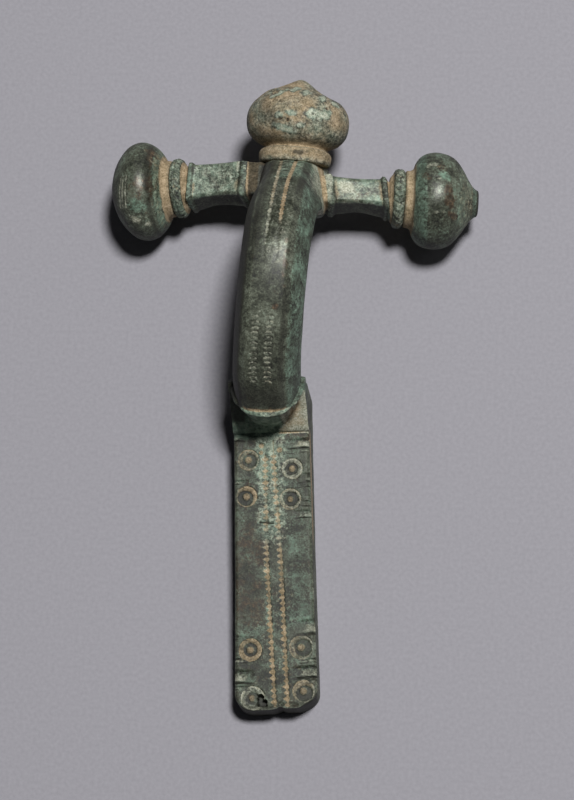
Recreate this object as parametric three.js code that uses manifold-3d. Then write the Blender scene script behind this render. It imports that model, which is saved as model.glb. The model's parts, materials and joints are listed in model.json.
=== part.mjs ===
// A crossbow brooch (crossbow fibula) of cast copper alloy, lying on its back.
// Six pieces: the body, which is bow, crossbar and foot in one casting, three onion-shaped knobs, a hinged
// pin and the rod that the pin turns on.
// Millimetres. X runs along the crossbar, +Y from the foot towards the head knob, +Z away from the wearer.
// While it is built, the crossbar's middle is at X = 0, Y = 0 and the table is at Z = 0.

import * as THREE from "three";
import { mergeVertices } from "three/addons/utils/BufferGeometryUtils.js";
import Module from "manifold-3d";

const wasm = await Module();
wasm.setup();

// ---- driving dimensions ----

const BRONZE = { color: 0x4f5c4c, roughness: 0.45, metalness: 0.3 };
const BRONZE_DARK = { color: 0x4a4538, roughness: 0.5, metalness: 0.35 };
const SEAM = 0.05; // space left where a knob meets the body
const RUNNING_GAP = 0.1; // space around the hinge rod

const BAR = {
  height: 5.0, // of the arms, top facet to underside
  axisZ: 9.15, // middle of the crossbar over the table
  draft: 0.35, // how far each side leans out from top to bottom
  ridge: 0.35, // the two cross ridges stand this proud
  hollow: 0.25, // the facet between them is dished this deep
};
// Distances out along an arm.
const ARM = {
  root: 2,
  innerRidge: 5.3,
  facet: 6.2,
  facetEnd: 12.7,
  outerRidge: 13.4,
  groove: 13.7,
  ring: 14.2,
  end: 15.8,
};
// Each arm has its own width and place along the bow. It leans a little towards the foot (sweep) and slopes
// down to its knob (drop) just enough for the knob to touch the table.
const LEFT_ARM = { side: -1, width: 4.6, rootY: 1.85, sweep: 2.8, drop: 7.17 };
const RIGHT_ARM = { side: 1, width: 3.6, rootY: 0.05, sweep: 1.5, drop: 7.63 };
const RING_RADIUS = 4.1;
const GROOVE_RADIUS = 3.2;

const BOW = {
  headY: 3.5, // flat face that carries the head knob
  headAxisZ: 9.5,
  top: [
    [4.6, 11.6], [0.6, 17.4], [-3.6, 22.8], [-8.2, 26.2], [-13.2, 27.5], [-18.8, 26.7], [-24.4, 23.8],
    [-29.4, 19.0], [-32.4, 14.6],
  ],
  under: [
    [4.5, 5.6], [-2.6, 6.6], [-4.2, 13.4], [-7.4, 18.2], [-13.2, 20.8], [-18.2, 20.3], [-22.2, 18.2],
    [-25.2, 15.2], [-26.8, 11.9],
  ],
  facetHalf: [2.4, 2.6], // half width of the flat top facet, at the head and at the foot
  flankHalf: [4.8, 4.45, 4.4], // half width across the flanks, at the head, halfway and at the foot
  shift: [0.5, -0.018, -0.002], // its middle line bends off to the left towards the foot
  sections: 30,
};
const RIM = { length: 1.3, proud: 0.4 }; // moulding round the lower end of the bow

const FOOT = {
  headY: -32.9,
  headX: -1.45,
  endY: -69.8,
  halfWidth: [5.05, 5.2, 5.5], // at its head, halfway and at its end
  height: [6.6, 4.8],
  edge: 0.35, // worn edge round the top plate
  cornerRadius: 2.3,
  yaw: THREE.MathUtils.degToRad(2.5), // the foot is bent back to the right
  heelTop: 13.2, // wedge that carries the end of the bow
  heelBackY: -27.6,
  insideY: -26.6,
};

const CATCH = {
  wall: 1.25, // side walls of the sheath under the foot
  roof: 1.5,
  floor: 1.0, // the lip that turns in under the pin
  lipHalf: 1.35, // the lip ends this far left of the pin's line
  endWall: 4.2,
};

const HINGE = {
  y: 0,
  z: 7.6,
  rodRadius: 0.9,
  rodHalf: 4.2,
  slotHalf: 1.6,
  slotBack: 2.8,
  eyeHalf: 1.3,
  eyeRadius: 1.9,
};
const PIN = { tipY: -62, radius: 0.95, tipRadius: 0.18 };

const KNOB_SEGMENTS = 36;
const HEAD_KNOB = {
  x: 0.85,
  yaw: THREE.MathUtils.degToRad(-4), // it sits askew, leaning to the right
  pitch: THREE.MathUtils.degToRad(10), // and it tips up
  collarRadius: 4.9,
  collarLength: 2.0,
  neckRadius: 4.15,
  neckLength: 0.45,
  radius: 6.95,
  inner: 3.3, // from its neck to the widest place
  outer: 6.05, // from the widest place to the tip
};
const SIDE_KNOB = { neckRadius: 3.85, neckLength: 1.15 };
const LEFT_KNOB = { radius: 6.7, inner: 2.9, outer: 4.3 }; // its nipple is gone
const RIGHT_KNOB = { radius: 6.55, inner: 2.8, outer: 5.95, stubRadius: 1.65 };

// The cut and punched ornament at each end of the foot. A place is the distance from the foot's head, then
// the distance across.
const EYES = {
  radius: 1.2, // middle of the ring
  ringHalf: 0.28,
  dot: 0.5,
  depth: 0.3,
  places: [
    [3.6, -3.1], [4.9, 2.7], [8.5, -3.4], [9.0, 2.4],
    [29.0, -3.3], [28.8, 3.4], [35.3, -3.1], [34.6, 3.7],
  ],
};
const NICKS = {
  broad: [[0.8, -1], [1.5, 1], [11.3, 1], [26.0, 1], [32.3, -1], [32.1, 1]],
  fine: [[6.5, -1], [6.5, 1], [27.3, -1], [30.3, -1], [30.5, 1], [33.8, -1]],
  broadSize: [1.5, 2.2, 0.6], // along, across and deep
  fineSize: [0.6, 1.9, 0.4],
};
const TWIN_LINES = { from: 3.0, to: 36.2, half: 0.3, depth: 0.25, head: [-1.0, 0.25], end: [-0.2, 1.45] };

// ---- solids from geometry ----

// A closed geometry as a manifold-3d solid, moved by matrix.
function solid(geometry, matrix = new THREE.Matrix4()) {
  const bare = geometry.clone().applyMatrix4(matrix);
  bare.deleteAttribute("normal");
  bare.deleteAttribute("uv");
  const merged = mergeVertices(bare, 1e-4);
  return new wasm.Manifold(
    new wasm.Mesh({
      numProp: 3,
      vertProperties: new Float32Array(merged.attributes.position.array),
      triVerts: new Uint32Array(merged.index.array),
    }),
  );
}

// A named three.js mesh from a manifold-3d solid.
function meshOf(name, made, look) {
  const { vertProperties, triVerts, numProp, numVert } = made.getMesh();
  const position = new Float32Array(numVert * 3);
  for (let i = 0; i < numVert; i++) {
    position.set(vertProperties.subarray(i * numProp, i * numProp + 3), i * 3);
  }
  const geometry = new THREE.BufferGeometry();
  geometry.setAttribute("position", new THREE.BufferAttribute(position, 3));
  geometry.setIndex(new THREE.BufferAttribute(triVerts, 1));
  geometry.computeVertexNormals();
  const mesh = new THREE.Mesh(geometry, new THREE.MeshStandardMaterial({ ...look, flatShading: true }));
  mesh.name = name;
  return mesh;
}

const unite = (solids) => solids.reduce((whole, next) => whole.add(next));
const cut = (whole, tools) => tools.reduce((left, tool) => left.subtract(tool), whole);
// Crumbs left between neighbouring cuts fall away.
const largest = (made) => made.decompose().reduce((a, b) => (a.volume() > b.volume() ? a : b));

// A closed skin over loops of points, each loop anticlockwise as seen looking back along the way they run.
function loft(loops) {
  const sides = loops[0].length;
  const points = loops.flat();
  const faces = [];
  for (let i = 0; i + 1 < loops.length; i++) {
    for (let k = 0; k < sides; k++) {
      const a = i * sides + k;
      const b = i * sides + ((k + 1) % sides);
      faces.push(a, b, a + sides, b, b + sides, a + sides);
    }
  }
  const cap = (loop, first, turn) => {
    const mean = loop.reduce((sum, p) => sum.add(p), new THREE.Vector3()).divideScalar(sides);
    const middle = points.push(mean) - 1;
    for (let k = 0; k < sides; k++) {
      const edge = [first + k, first + ((k + 1) % sides)];
      faces.push(middle, ...(turn ? edge.reverse() : edge));
    }
  };
  cap(loops[0], 0, true);
  cap(loops.at(-1), (loops.length - 1) * sides, false);
  const geometry = new THREE.BufferGeometry();
  geometry.setAttribute("position", new THREE.Float32BufferAttribute(points.flatMap((p) => p.toArray()), 3));
  geometry.setIndex(faces);
  return geometry;
}

const box = (x0, x1, y0, y1, z0, z1) =>
  new THREE.BoxGeometry(x1 - x0, y1 - y0, z1 - z0).translate((x0 + x1) / 2, (y0 + y1) / 2, (z0 + z1) / 2);

// Straight-line interpolation through values spread evenly over 0 to 1.
function along(values, t) {
  const place = Math.min(Math.max(t, 0), 1) * (values.length - 1);
  const i = Math.min(Math.floor(place), values.length - 2);
  return THREE.MathUtils.lerp(values[i], values[i + 1], place - i);
}

// ---- crossbar ----

// A section of an arm at distance x: eight points round a bar with leaning sides and eased corners.
function armSection(x, width, grow) {
  const top = width / 2 + grow;
  const bottom = width / 2 + BAR.draft + grow;
  const half = BAR.height / 2 + grow;
  const ease = 0.35;
  return [
    [top - ease, half], [top, half - ease], [bottom, -half + ease], [bottom - ease, -half],
    [-bottom + ease, -half], [-bottom, -half + ease], [-top, half - ease], [-top + ease, half],
  ].map(([y, z]) => new THREE.Vector3(x, -y, z));
}

function arm(width) {
  const { root, innerRidge, facet, facetEnd, outerRidge, groove, ring, end } = ARM;
  const loops = [armSection(root, width, 0), armSection(innerRidge - 0.1, width, 0)];
  loops.push(armSection(innerRidge, width, BAR.ridge), armSection(facet - 0.15, width, BAR.ridge));
  for (let i = 0; i <= 6; i++) {
    const dish = BAR.hollow * Math.sin((Math.PI * i) / 6);
    loops.push(armSection(THREE.MathUtils.lerp(facet, facetEnd, i / 6), width, -dish));
  }
  loops.push(armSection(facetEnd + 0.15, width, BAR.ridge), armSection(outerRidge, width, BAR.ridge));
  loops.push(armSection(groove, width, -BAR.hollow), armSection(groove + 0.3, width, -BAR.hollow));
  const bar = loft(loops);
  const ease = 0.35;
  const profile = [
    [0, groove], [GROOVE_RADIUS, groove], [GROOVE_RADIUS, ring - 0.1], [RING_RADIUS - 0.3, ring],
    [RING_RADIUS, ring + ease], [RING_RADIUS, end - ease], [RING_RADIUS - 0.3, end], [0, end],
  ];
  const bead = new THREE.LatheGeometry(profile.map(([r, h]) => new THREE.Vector2(r, h)), 28);
  return solid(bar).add(solid(bead.rotateZ(-Math.PI / 2)));
}

// Carries something built along +X out to the right (side 1) or the left (side -1).
function armFrame({ side, rootY, sweep, drop }) {
  const swept = THREE.MathUtils.degToRad(sweep);
  const turn = new THREE.Matrix4().makeRotationZ(side > 0 ? -swept : Math.PI + swept);
  const tip = new THREE.Matrix4().makeRotationY(THREE.MathUtils.degToRad(drop));
  return new THREE.Matrix4().makeTranslation(0, rootY, BAR.axisZ).multiply(turn).multiply(tip);
}

// ---- bow ----

const bowTop = new THREE.CatmullRomCurve3(BOW.top.map(([y, z]) => new THREE.Vector3(0, y, z)));
const bowUnder = new THREE.CatmullRomCurve3(BOW.under.map(([y, z]) => new THREE.Vector3(0, y, z)));

// Where the bow's middle line stands across, at distance y from the crossbar.
function wander(y) {
  const [start, slope, bend] = BOW.shift;
  const down = THREE.MathUtils.clamp(-y, -4, 28);
  return start + slope * down + bend * down * down;
}

// A ten-sided section between the under line and the top line at t, grown by proud on every side.
function bowSection(t, proud = 0) {
  const top = bowTop.getPoint(t);
  const under = bowUnder.getPoint(t);
  const up = top.clone().sub(under).normalize();
  top.addScaledVector(up, proud);
  under.addScaledVector(up, -proud);
  const facet = along(BOW.facetHalf, t) + proud / 2;
  const flank = along(BOW.flankHalf, t) + proud;
  return [
    [flank - 0.5, 0], [flank, 0.1], [flank, 0.3], [facet + 0.35, 0.93], [facet - 0.3, 1],
    [-facet + 0.3, 1], [-facet - 0.35, 0.93], [-flank, 0.3], [-flank, 0.1], [-flank + 0.5, 0],
  ].map(([x, share]) => {
    const point = under.clone().lerp(top, share);
    point.x = x + wander(point.y);
    return point;
  });
}

function bow() {
  const sections = Array.from({ length: BOW.sections + 1 }, (_, i) => bowSection(i / BOW.sections));
  return solid(loft(sections));
}

// The moulding is the bow's own end section, grown and carried a little way down the bow's line.
function rim() {
  const end = bowSection(1, RIM.proud);
  const way = bowTop.getTangent(1);
  const near = end.map((p) => p.clone().addScaledVector(way, -RIM.length / 2));
  const far = end.map((p) => p.clone().addScaledVector(way, RIM.length / 2));
  return solid(loft([near, far]));
}

// Under the moulding the bow's section drops straight to the foot plate.
function stalk() {
  const head = bowSection(1, -0.25);
  const base = head.map((p) => new THREE.Vector3(p.x, Math.max(p.y, FOOT.headY + 0.1), FOOT.height[0] - 1));
  return solid(loft([head, base]));
}

// ---- foot ----

// Half width of the foot at y, rounded in at its end corners.
function footHalf(y) {
  const share = (y - FOOT.headY) / (FOOT.endY - FOOT.headY);
  const into = Math.max(0, FOOT.cornerRadius - (y - FOOT.endY));
  const rounding = FOOT.cornerRadius - Math.sqrt(Math.max(0, FOOT.cornerRadius ** 2 - into ** 2));
  return along(FOOT.halfWidth, share) - rounding;
}

const footTop = (y) => along(FOOT.height, (y - FOOT.headY) / (FOOT.endY - FOOT.headY));

function footSection(y) {
  const half = footHalf(y);
  const top = footTop(y);
  return [
    [half, 0], [half, top - FOOT.edge], [half - FOOT.edge, top],
    [-half + FOOT.edge, top], [-half, top - FOOT.edge], [-half, 0],
  ].map(([x, z]) => new THREE.Vector3(x, y, z));
}

function footPlate() {
  const stations = [FOOT.insideY, FOOT.headY];
  const cornerY = FOOT.endY + FOOT.cornerRadius;
  for (let i = 1; i <= 8; i++) stations.push(THREE.MathUtils.lerp(FOOT.headY, cornerY, i / 8));
  for (let i = 1; i <= 6; i++) stations.push(cornerY - FOOT.cornerRadius * Math.sin((Math.PI / 2) * (i / 6)));
  return solid(loft(stations.map(footSection)));
}

// The wedge between foot plate and bow, a side outline given width.
function heel() {
  const outline = new THREE.Shape([
    [FOOT.headY, 0], [FOOT.headY, FOOT.height[0] + 1.2], [FOOT.heelBackY, FOOT.heelTop],
    [FOOT.insideY, FOOT.heelTop - 1.6], [FOOT.insideY - 0.6, 0],
  ].map(([y, z]) => new THREE.Vector2(y, z)));
  const wide = new THREE.ExtrudeGeometry(outline, { depth: 2 * FOOT.halfWidth[0], bevelEnabled: false });
  const onEdge = new THREE.Matrix4().makeBasis(
    new THREE.Vector3(0, 1, 0), new THREE.Vector3(0, 0, 1), new THREE.Vector3(1, 0, 0),
  );
  return solid(wide.applyMatrix4(onEdge).translate(-FOOT.halfWidth[0], 0, 0));
}

// Hollow under the foot, open towards the arch and down past the lip, where the pin lies.
function sheathCuts() {
  const inner = FOOT.halfWidth[0] - CATCH.wall;
  const back = FOOT.insideY + 2;
  const front = FOOT.endY + CATCH.endWall;
  const at = (y, section) => section.map(([x, z]) => new THREE.Vector3(x, y, z));
  const hollow = [back, FOOT.headY, front].map((y) => {
    const roof = footTop(y) - CATCH.roof;
    return at(y, [[inner, CATCH.floor], [inner, roof], [-inner, roof], [-inner, CATCH.floor]]);
  });
  const mouth = [back, front + 1.5].map((y) => {
    const lip = -FOOT.headX - CATCH.lipHalf + (y - FOOT.headY) * Math.tan(FOOT.yaw);
    const high = CATCH.floor + 0.5;
    return at(y, [[inner, -1], [inner, high], [lip, high], [lip, -1]]);
  });
  return [solid(loft(hollow)), solid(loft(mouth))];
}

// Ring-and-dot eyes: a shallow ring groove with a punched dot in the middle.
function eyeCuts() {
  const { radius, ringHalf, dot, depth, places } = EYES;
  return places.flatMap(([from, x]) => {
    const y = FOOT.headY - from;
    const z = footTop(y) - depth;
    const inner = radius - ringHalf;
    const outer = radius + ringHalf;
    const square = [[inner, 0], [outer, 0], [outer, 2], [inner, 2], [inner, 0]];
    const ring = new THREE.LatheGeometry(square.map(([r, h]) => new THREE.Vector2(r, h)), 20);
    ring.rotateX(Math.PI / 2);
    const punched = new THREE.CylinderGeometry(dot, dot, 2, 12).rotateX(Math.PI / 2).translate(0, 0, 1);
    return [ring, punched].map((g) => solid(g.translate(x, y, z)));
  });
}

// A nick in the edge of the foot plate: a wedge, deepest at the edge.
function nickCut([from, side], [length, reach, deep]) {
  const y = FOOT.headY - from;
  const edge = footHalf(y) + 0.2;
  const z = footTop(y);
  const points = [
    [edge, y - length / 2, z + 1], [edge, y + length / 2, z + 1], [edge, y, z - deep],
    [edge - reach, y - length / 2, z + 1], [edge - reach, y + length / 2, z + 1], [edge - reach, y, z + 0.05],
  ].map(([px, py, pz]) => new THREE.Vector3(side * px, py, pz));
  const loops = [points.slice(0, 3), points.slice(3)];
  return solid(loft(side > 0 ? loops.reverse() : loops));
}

// The two engraved lines down the middle of the foot plate, plain V grooves.
function lineCuts() {
  return [0, 1].map((i) => {
    const ends = [[TWIN_LINES.from, TWIN_LINES.head[i]], [TWIN_LINES.to, TWIN_LINES.end[i]]];
    const loops = ends.map(([from, x]) => {
      const y = FOOT.headY - from;
      const z = footTop(y);
      return [[-TWIN_LINES.half, 0.1], [0, -TWIN_LINES.depth], [TWIN_LINES.half, 0.1]]
        .map(([across, up]) => new THREE.Vector3(x + across, y, z + up));
    });
    return solid(loft(loops.reverse()));
  });
}

// ---- body ----

function footFrame() {
  const pivot = new THREE.Matrix4().makeTranslation(FOOT.headX, FOOT.headY, 0);
  const back = new THREE.Matrix4().makeTranslation(0, -FOOT.headY, 0);
  return pivot.multiply(new THREE.Matrix4().makeRotationZ(FOOT.yaw)).multiply(back);
}

function body() {
  const cuts = [
    ...sheathCuts(), ...eyeCuts(), ...lineCuts(),
    ...NICKS.broad.map((place) => nickCut(place, NICKS.broadSize)),
    ...NICKS.fine.map((place) => nickCut(place, NICKS.fineSize)),
  ];
  const foot = largest(cut(footPlate().add(heel()), cuts)).transform(footFrame().elements);
  const arms = [LEFT_ARM, RIGHT_ARM].map((which) => arm(which.width).transform(armFrame(which).elements));
  const bored = HINGE.rodRadius + RUNNING_GAP;
  const slotRoof = HINGE.z + HINGE.eyeRadius + 0.3;
  const slot = box(-HINGE.slotHalf, HINGE.slotHalf, -5.4, HINGE.slotBack, -1, slotRoof);
  const bore = new THREE.CylinderGeometry(bored, bored, 2 * (HINGE.rodHalf + 0.1), 20)
    .rotateZ(Math.PI / 2).translate(0, HINGE.y, HINGE.z);
  const cast = unite([bow(), rim(), stalk(), ...arms, foot]);
  return cut(cast, [solid(slot), solid(bore), solid(box(0, 9, -9, 9, -9, 12), headFrame())]);
}

// ---- knobs ----

// Half of a bulb from its widest place: quarter of an ellipse, from angle a to b in steps.
function bulb(radius, length, h0, a, b, steps) {
  return Array.from({ length: steps + 1 }, (_, i) => {
    const angle = THREE.MathUtils.lerp(a, b, i / steps);
    return [radius * Math.cos(angle), h0 + length * Math.sin(angle)];
  });
}

// A profile turned round +X, starting on the axis at x = 0.
function turned(profile) {
  const around = new THREE.LatheGeometry(profile.map(([r, h]) => new THREE.Vector2(r, h)), KNOB_SEGMENTS);
  return around.rotateZ(-Math.PI / 2);
}

// The outer side of an onion: bulb, hollow shoulder and nipple. The shoulder is straight from one to the other.
function onionShoulder(radius, h0, outer) {
  const round = bulb(radius, outer * 0.72, h0, 0.1, 0.85, 6);
  const hollow = [[0.44, 0.7], [0.29, 0.83], [0.17, 0.94]].map(([r, h]) => [radius * r, h0 + outer * h]);
  return [...round, ...hollow];
}

function neckAndBase({ neckRadius, neckLength }, radius, inner) {
  const start = Math.acos(neckRadius / radius);
  const stretch = inner / Math.sin(start);
  const widest = neckLength + inner;
  return [[0, 0], [neckRadius, 0], ...bulb(radius, stretch, widest, -start, 0, 8)];
}

function sideKnob(size, end) {
  const base = neckAndBase(SIDE_KNOB, size.radius, size.inner);
  return turned([...base, ...end(SIDE_KNOB.neckLength + size.inner)]);
}

const roundEnd = (widest) => bulb(LEFT_KNOB.radius, LEFT_KNOB.outer, widest, 0.15, Math.PI / 2, 9);

function stubEnd(widest) {
  const { radius, outer, stubRadius } = RIGHT_KNOB;
  const tip = widest + outer;
  return [
    ...bulb(radius, 4.6, widest, 0.15, 0.72, 5),
    [radius * 0.5, widest + outer * 0.67],
    [stubRadius * 1.15, tip - 1.1],
    [stubRadius, tip - 0.4],
    [stubRadius - 0.4, tip],
    [0, tip],
  ];
}

function headKnob() {
  const { collarRadius, collarLength, radius, inner, outer } = HEAD_KNOB;
  const collar = [
    [0, 0], [collarRadius - 0.5, 0], [collarRadius, 0.5], [collarRadius, collarLength - 0.6],
    [collarRadius - 0.6, collarLength],
  ];
  const bulbAndTip = neckAndBase(HEAD_KNOB, radius, inner).slice(1).map(([r, h]) => [r, h + collarLength]);
  const widest = collarLength + HEAD_KNOB.neckLength + inner;
  return turned([...collar, ...bulbAndTip, ...onionShoulder(radius, widest, outer), [0, widest + outer]]);
}

// A knob as a mesh of its own, set on the body by matrix.
const knobMesh = (name, geometry, matrix) => meshOf(name, solid(geometry, matrix), BRONZE);

function headFrame() {
  const place = new THREE.Matrix4().makeTranslation(HEAD_KNOB.x, BOW.headY + SEAM, BOW.headAxisZ);
  const aim = new THREE.Matrix4().makeRotationZ(Math.PI / 2 + HEAD_KNOB.yaw);
  return place.multiply(aim).multiply(new THREE.Matrix4().makeRotationY(-HEAD_KNOB.pitch));
}

const onArm = (which) => armFrame(which).multiply(new THREE.Matrix4().makeTranslation(ARM.end + SEAM, 0, 0));

// ---- pin ----

// The pin leaves its eye under the rod and runs down to lie along the sheath, thinning to a point.
function pin() {
  const course = [[-0.4, 5.9], [-6, 5.35], [-16, 4.5], [-28, 3.75], [-44, 3.05], [PIN.tipY, 2.6]];
  const line = new THREE.CatmullRomCurve3(course.map(([y, z]) => new THREE.Vector3(0, y, z)));
  const steps = 26;
  const loops = Array.from({ length: steps + 1 }, (_, i) => {
    const t = i / steps;
    const middle = line.getPoint(t);
    const up = line.getTangent(t).applyAxisAngle(new THREE.Vector3(1, 0, 0), -Math.PI / 2);
    const radius = THREE.MathUtils.lerp(PIN.radius, PIN.tipRadius, t ** 2.2);
    return Array.from({ length: 12 }, (_, k) => {
      const angle = (2 * Math.PI * k) / 12;
      const out = new THREE.Vector3(Math.cos(angle) * radius, 0, 0);
      return middle.clone().add(out).addScaledVector(up, Math.sin(angle) * radius);
    });
  });
  const eye = new THREE.CylinderGeometry(HINGE.eyeRadius, HINGE.eyeRadius, 2 * HINGE.eyeHalf, 28)
    .rotateZ(Math.PI / 2).translate(0, HINGE.y, HINGE.z);
  const hole = new THREE.CylinderGeometry(HINGE.rodRadius + RUNNING_GAP, HINGE.rodRadius + RUNNING_GAP, 4, 20)
    .rotateZ(Math.PI / 2).translate(0, HINGE.y, HINGE.z);
  return solid(loft(loops)).add(solid(eye)).subtract(solid(hole));
}

function hingeRod() {
  return solid(new THREE.CylinderGeometry(HINGE.rodRadius, HINGE.rodRadius, 2 * HINGE.rodHalf, 20)
    .rotateZ(Math.PI / 2).translate(0, HINGE.y, HINGE.z));
}

// ---- the brooch ----

const brooch = new THREE.Group();
brooch.add(
  meshOf("body", body(), BRONZE),
  knobMesh("head_knob", headKnob().translate(SEAM, 0, 0), headFrame()),
  knobMesh("left_knob", sideKnob(LEFT_KNOB, roundEnd), onArm(LEFT_ARM)),
  knobMesh("right_knob", sideKnob(RIGHT_KNOB, stubEnd), onArm(RIGHT_ARM)),
  meshOf("pin", pin(), BRONZE_DARK),
  meshOf("hinge_rod", hingeRod(), BRONZE_DARK),
);

// The origin is on the table, under the middle of the whole brooch.
const bounds = new THREE.Box3().setFromObject(brooch, true);
const middle = bounds.getCenter(new THREE.Vector3());
brooch.position.set(-middle.x, -middle.y, -bounds.min.z);

export default brooch;
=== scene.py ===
"""A crossbow brooch of cast copper alloy, buried and cleaned: patina, soil in the cuts, rubbed edges.

Lengths are millimetres until a mesh is made. They are measured from the middle of the crossbar, X out along
the right arm, Y towards the head knob and Z up from the table, and ORIGIN carries them into the model's own
place.
"""

import json
import math

import bpy
import numpy as np
from mathutils import Matrix, Vector


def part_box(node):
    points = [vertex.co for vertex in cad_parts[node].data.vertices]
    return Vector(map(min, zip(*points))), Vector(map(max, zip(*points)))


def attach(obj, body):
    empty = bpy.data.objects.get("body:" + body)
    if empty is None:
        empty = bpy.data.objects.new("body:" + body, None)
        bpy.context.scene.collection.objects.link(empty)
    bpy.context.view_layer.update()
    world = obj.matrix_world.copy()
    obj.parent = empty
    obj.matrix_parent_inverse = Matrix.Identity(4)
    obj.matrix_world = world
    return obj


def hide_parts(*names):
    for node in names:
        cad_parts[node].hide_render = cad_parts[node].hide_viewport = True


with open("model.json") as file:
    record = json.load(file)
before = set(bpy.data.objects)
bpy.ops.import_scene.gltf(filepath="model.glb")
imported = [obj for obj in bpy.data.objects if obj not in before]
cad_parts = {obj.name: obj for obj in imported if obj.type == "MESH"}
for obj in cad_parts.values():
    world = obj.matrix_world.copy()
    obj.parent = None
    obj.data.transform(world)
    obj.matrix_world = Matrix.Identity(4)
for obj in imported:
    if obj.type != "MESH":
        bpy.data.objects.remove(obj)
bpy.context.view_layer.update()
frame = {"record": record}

MM = 0.001
rod_low, rod_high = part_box("hinge_rod")
ORIGIN = np.array([(rod_low.x + rod_high.x) / 2, (rod_low.y + rod_high.y) / 2, 0.0]) / MM
INSET = 0.01  # how far a worn surface stays inside the box of its CAD node

# ---- the casting's driving dimensions ----

BOW_TOP = np.array([(4.6, 11.6), (0.6, 17.4), (-3.6, 22.8), (-8.2, 26.2), (-13.2, 27.5), (-18.8, 26.7),
                    (-24.4, 23.8), (-29.4, 19.0), (-32.4, 14.6)])
BOW_UNDER = np.array([(4.5, 5.6), (-2.6, 6.6), (-4.2, 13.4), (-7.4, 18.2), (-13.2, 20.8), (-18.2, 20.3),
                      (-22.2, 18.2), (-25.2, 15.2), (-26.8, 11.9)])
FACET_HALF = (2.4, 2.6)
FLANK_HALF = (4.8, 4.45, 4.4)
BOW_SHIFT = (0.5, -0.018, -0.002)
RIM_LENGTH, RIM_PROUD = 0.95, 0.40

FOOT_X, FOOT_Y, FOOT_LONG = -1.45, -32.9, 36.9
FOOT_HALF = (5.05, 5.2, 5.5)
FOOT_TOP = (6.6, 4.8)
FOOT_YAW = math.radians(2.5)
FOOT_COS, FOOT_SIN = math.cos(FOOT_YAW), math.sin(FOOT_YAW)
FOOT_CORNER = 2.3
HEEL = np.array([(0.0, 0.0), (0.0, 7.05), (-5.3, 13.2), (-6.3, 11.6), (-5.7, 0.0)])

ARM_Z, ARM_HALF = 9.15, 2.5
ARMS = {
    "left": dict(side=-1, width=4.6, root=1.85, sweep=2.8, drop=7.17, slant=0.10, fuller=0.2),
    "right": dict(side=1, width=3.6, root=0.05, sweep=1.5, drop=7.63, slant=0.16, fuller=0.12),
}
RING_AT, RING_END, ARM_END = 14.15, 15.75, 15.85
HINGE_Z, HINGE_HOLE = 7.6, 1.0


# ---- numbers on whole arrays ----

def lerp(a, b, t):
    return a + (b - a) * t


def step(low, high, value):
    """0 below low, 1 above high, and an S-curve between them. High below low turns it round."""
    t = np.clip((value - low) / (high - low), 0, 1)
    return t * t * (3 - 2 * t)


def band(value, starts, full, leaves, ends):
    """0 outside starts to ends, 1 from full to leaves, and S-curves between them."""
    return step(starts, full, value) * step(ends, leaves, value)


def spread(values, t):
    """Straight lines through values set evenly over 0 to 1."""
    return np.interp(np.clip(t, 0, 1), np.linspace(0, 1, len(values)), values)


def cell(i, j, k, seed):
    """A number from 0 to 1 for each whole-number corner of space, the same every time."""
    n = (i * 374761393 + j * 668265263 + k * 1440662683 + seed * 974634777) & 0xFFFFFFFF
    n = ((n ^ (n >> 13)) * 1274126177) & 0xFFFFFFFF
    n = ((n ^ (n >> 15)) * 2246822519) & 0xFFFFFFFF
    return (n >> 8 & 0xFFFF) / 65535.0


def noise(p, size, seed=0):
    """Soft lumps about size across, from -1 to 1: corner numbers blended by S-curves along the three axes."""
    q = p / size + 1000.0
    base = np.floor(q).astype(np.int64)
    f = q - base
    f = f * f * (3 - 2 * f)
    x, y, z = base.T
    total = 0.0
    for a in (0, 1):
        for b in (0, 1):
            for c in (0, 1):
                weight = abs(1 - a - f[:, 0]) * abs(1 - b - f[:, 1]) * abs(1 - c - f[:, 2])
                total = total + weight * cell(x + a, y + b, z + c, seed)
    return total * 2 - 1


def rough(p, size, octaves, seed=0):
    """Noise with finer and weaker copies of itself added, each half the size and 0.55 as strong."""
    total, strength, most = 0.0, 1.0, 0.0
    for n in range(octaves):
        total = total + strength * noise(p, size / 2 ** n, seed + n)
        most += strength
        strength *= 0.55
    return total / most


def through(points, t):
    """A smooth line through the points at share t of their number: cubics, with slopes weighed by the square
    roots of the distances between points."""
    points = np.vstack([2 * points[0] - points[1], points, 2 * points[-1] - points[-2]])
    place = np.clip(t, 0, 1) * (len(points) - 3)
    i = np.minimum(place.astype(int), len(points) - 4)
    w = (place - i)[:, None]
    p0, p1, p2, p3 = (points[i + k] for k in range(4))
    d0, d1, d2 = (np.sqrt(np.linalg.norm(b - a, axis=1))[:, None] for a, b in ((p0, p1), (p1, p2), (p2, p3)))
    m1 = d1 * ((p1 - p0) / d0 - (p2 - p0) / (d0 + d1) + (p2 - p1) / d1)
    m2 = d1 * ((p2 - p1) / d1 - (p3 - p1) / (d1 + d2) + (p3 - p2) / d2)
    return p1 + m1 * w + (3 * (p2 - p1) - 2 * m1 - m2) * w ** 2 + (2 * (p1 - p2) + m1 + m2) * w ** 3


def saw(place):
    """0 at each whole number, 1 halfway between them, and straight lines from one to the other."""
    return 1 - np.abs((place % 1) * 2 - 1)


def unit(v):
    """Arrows shortened or stretched to a length of 1."""
    return v / np.linalg.norm(v, axis=-1, keepdims=True)


def run_along(line):
    """How far each point lies down a line of points."""
    return np.r_[0, np.cumsum(np.linalg.norm(np.diff(line, axis=0), axis=1))]


def round_angles(count):
    return np.linspace(0, 2 * np.pi, count, endpoint=False)


def round_loops(out, radius, angle):
    """Rings round X: how far out along it each is, its radius, and the angles of its points."""
    return np.stack([out + 0 * angle, radius * np.cos(angle), radius * np.sin(angle)], 2)


def turn(axis, degrees):
    return np.array(Matrix.Rotation(math.radians(degrees), 4, axis))


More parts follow.
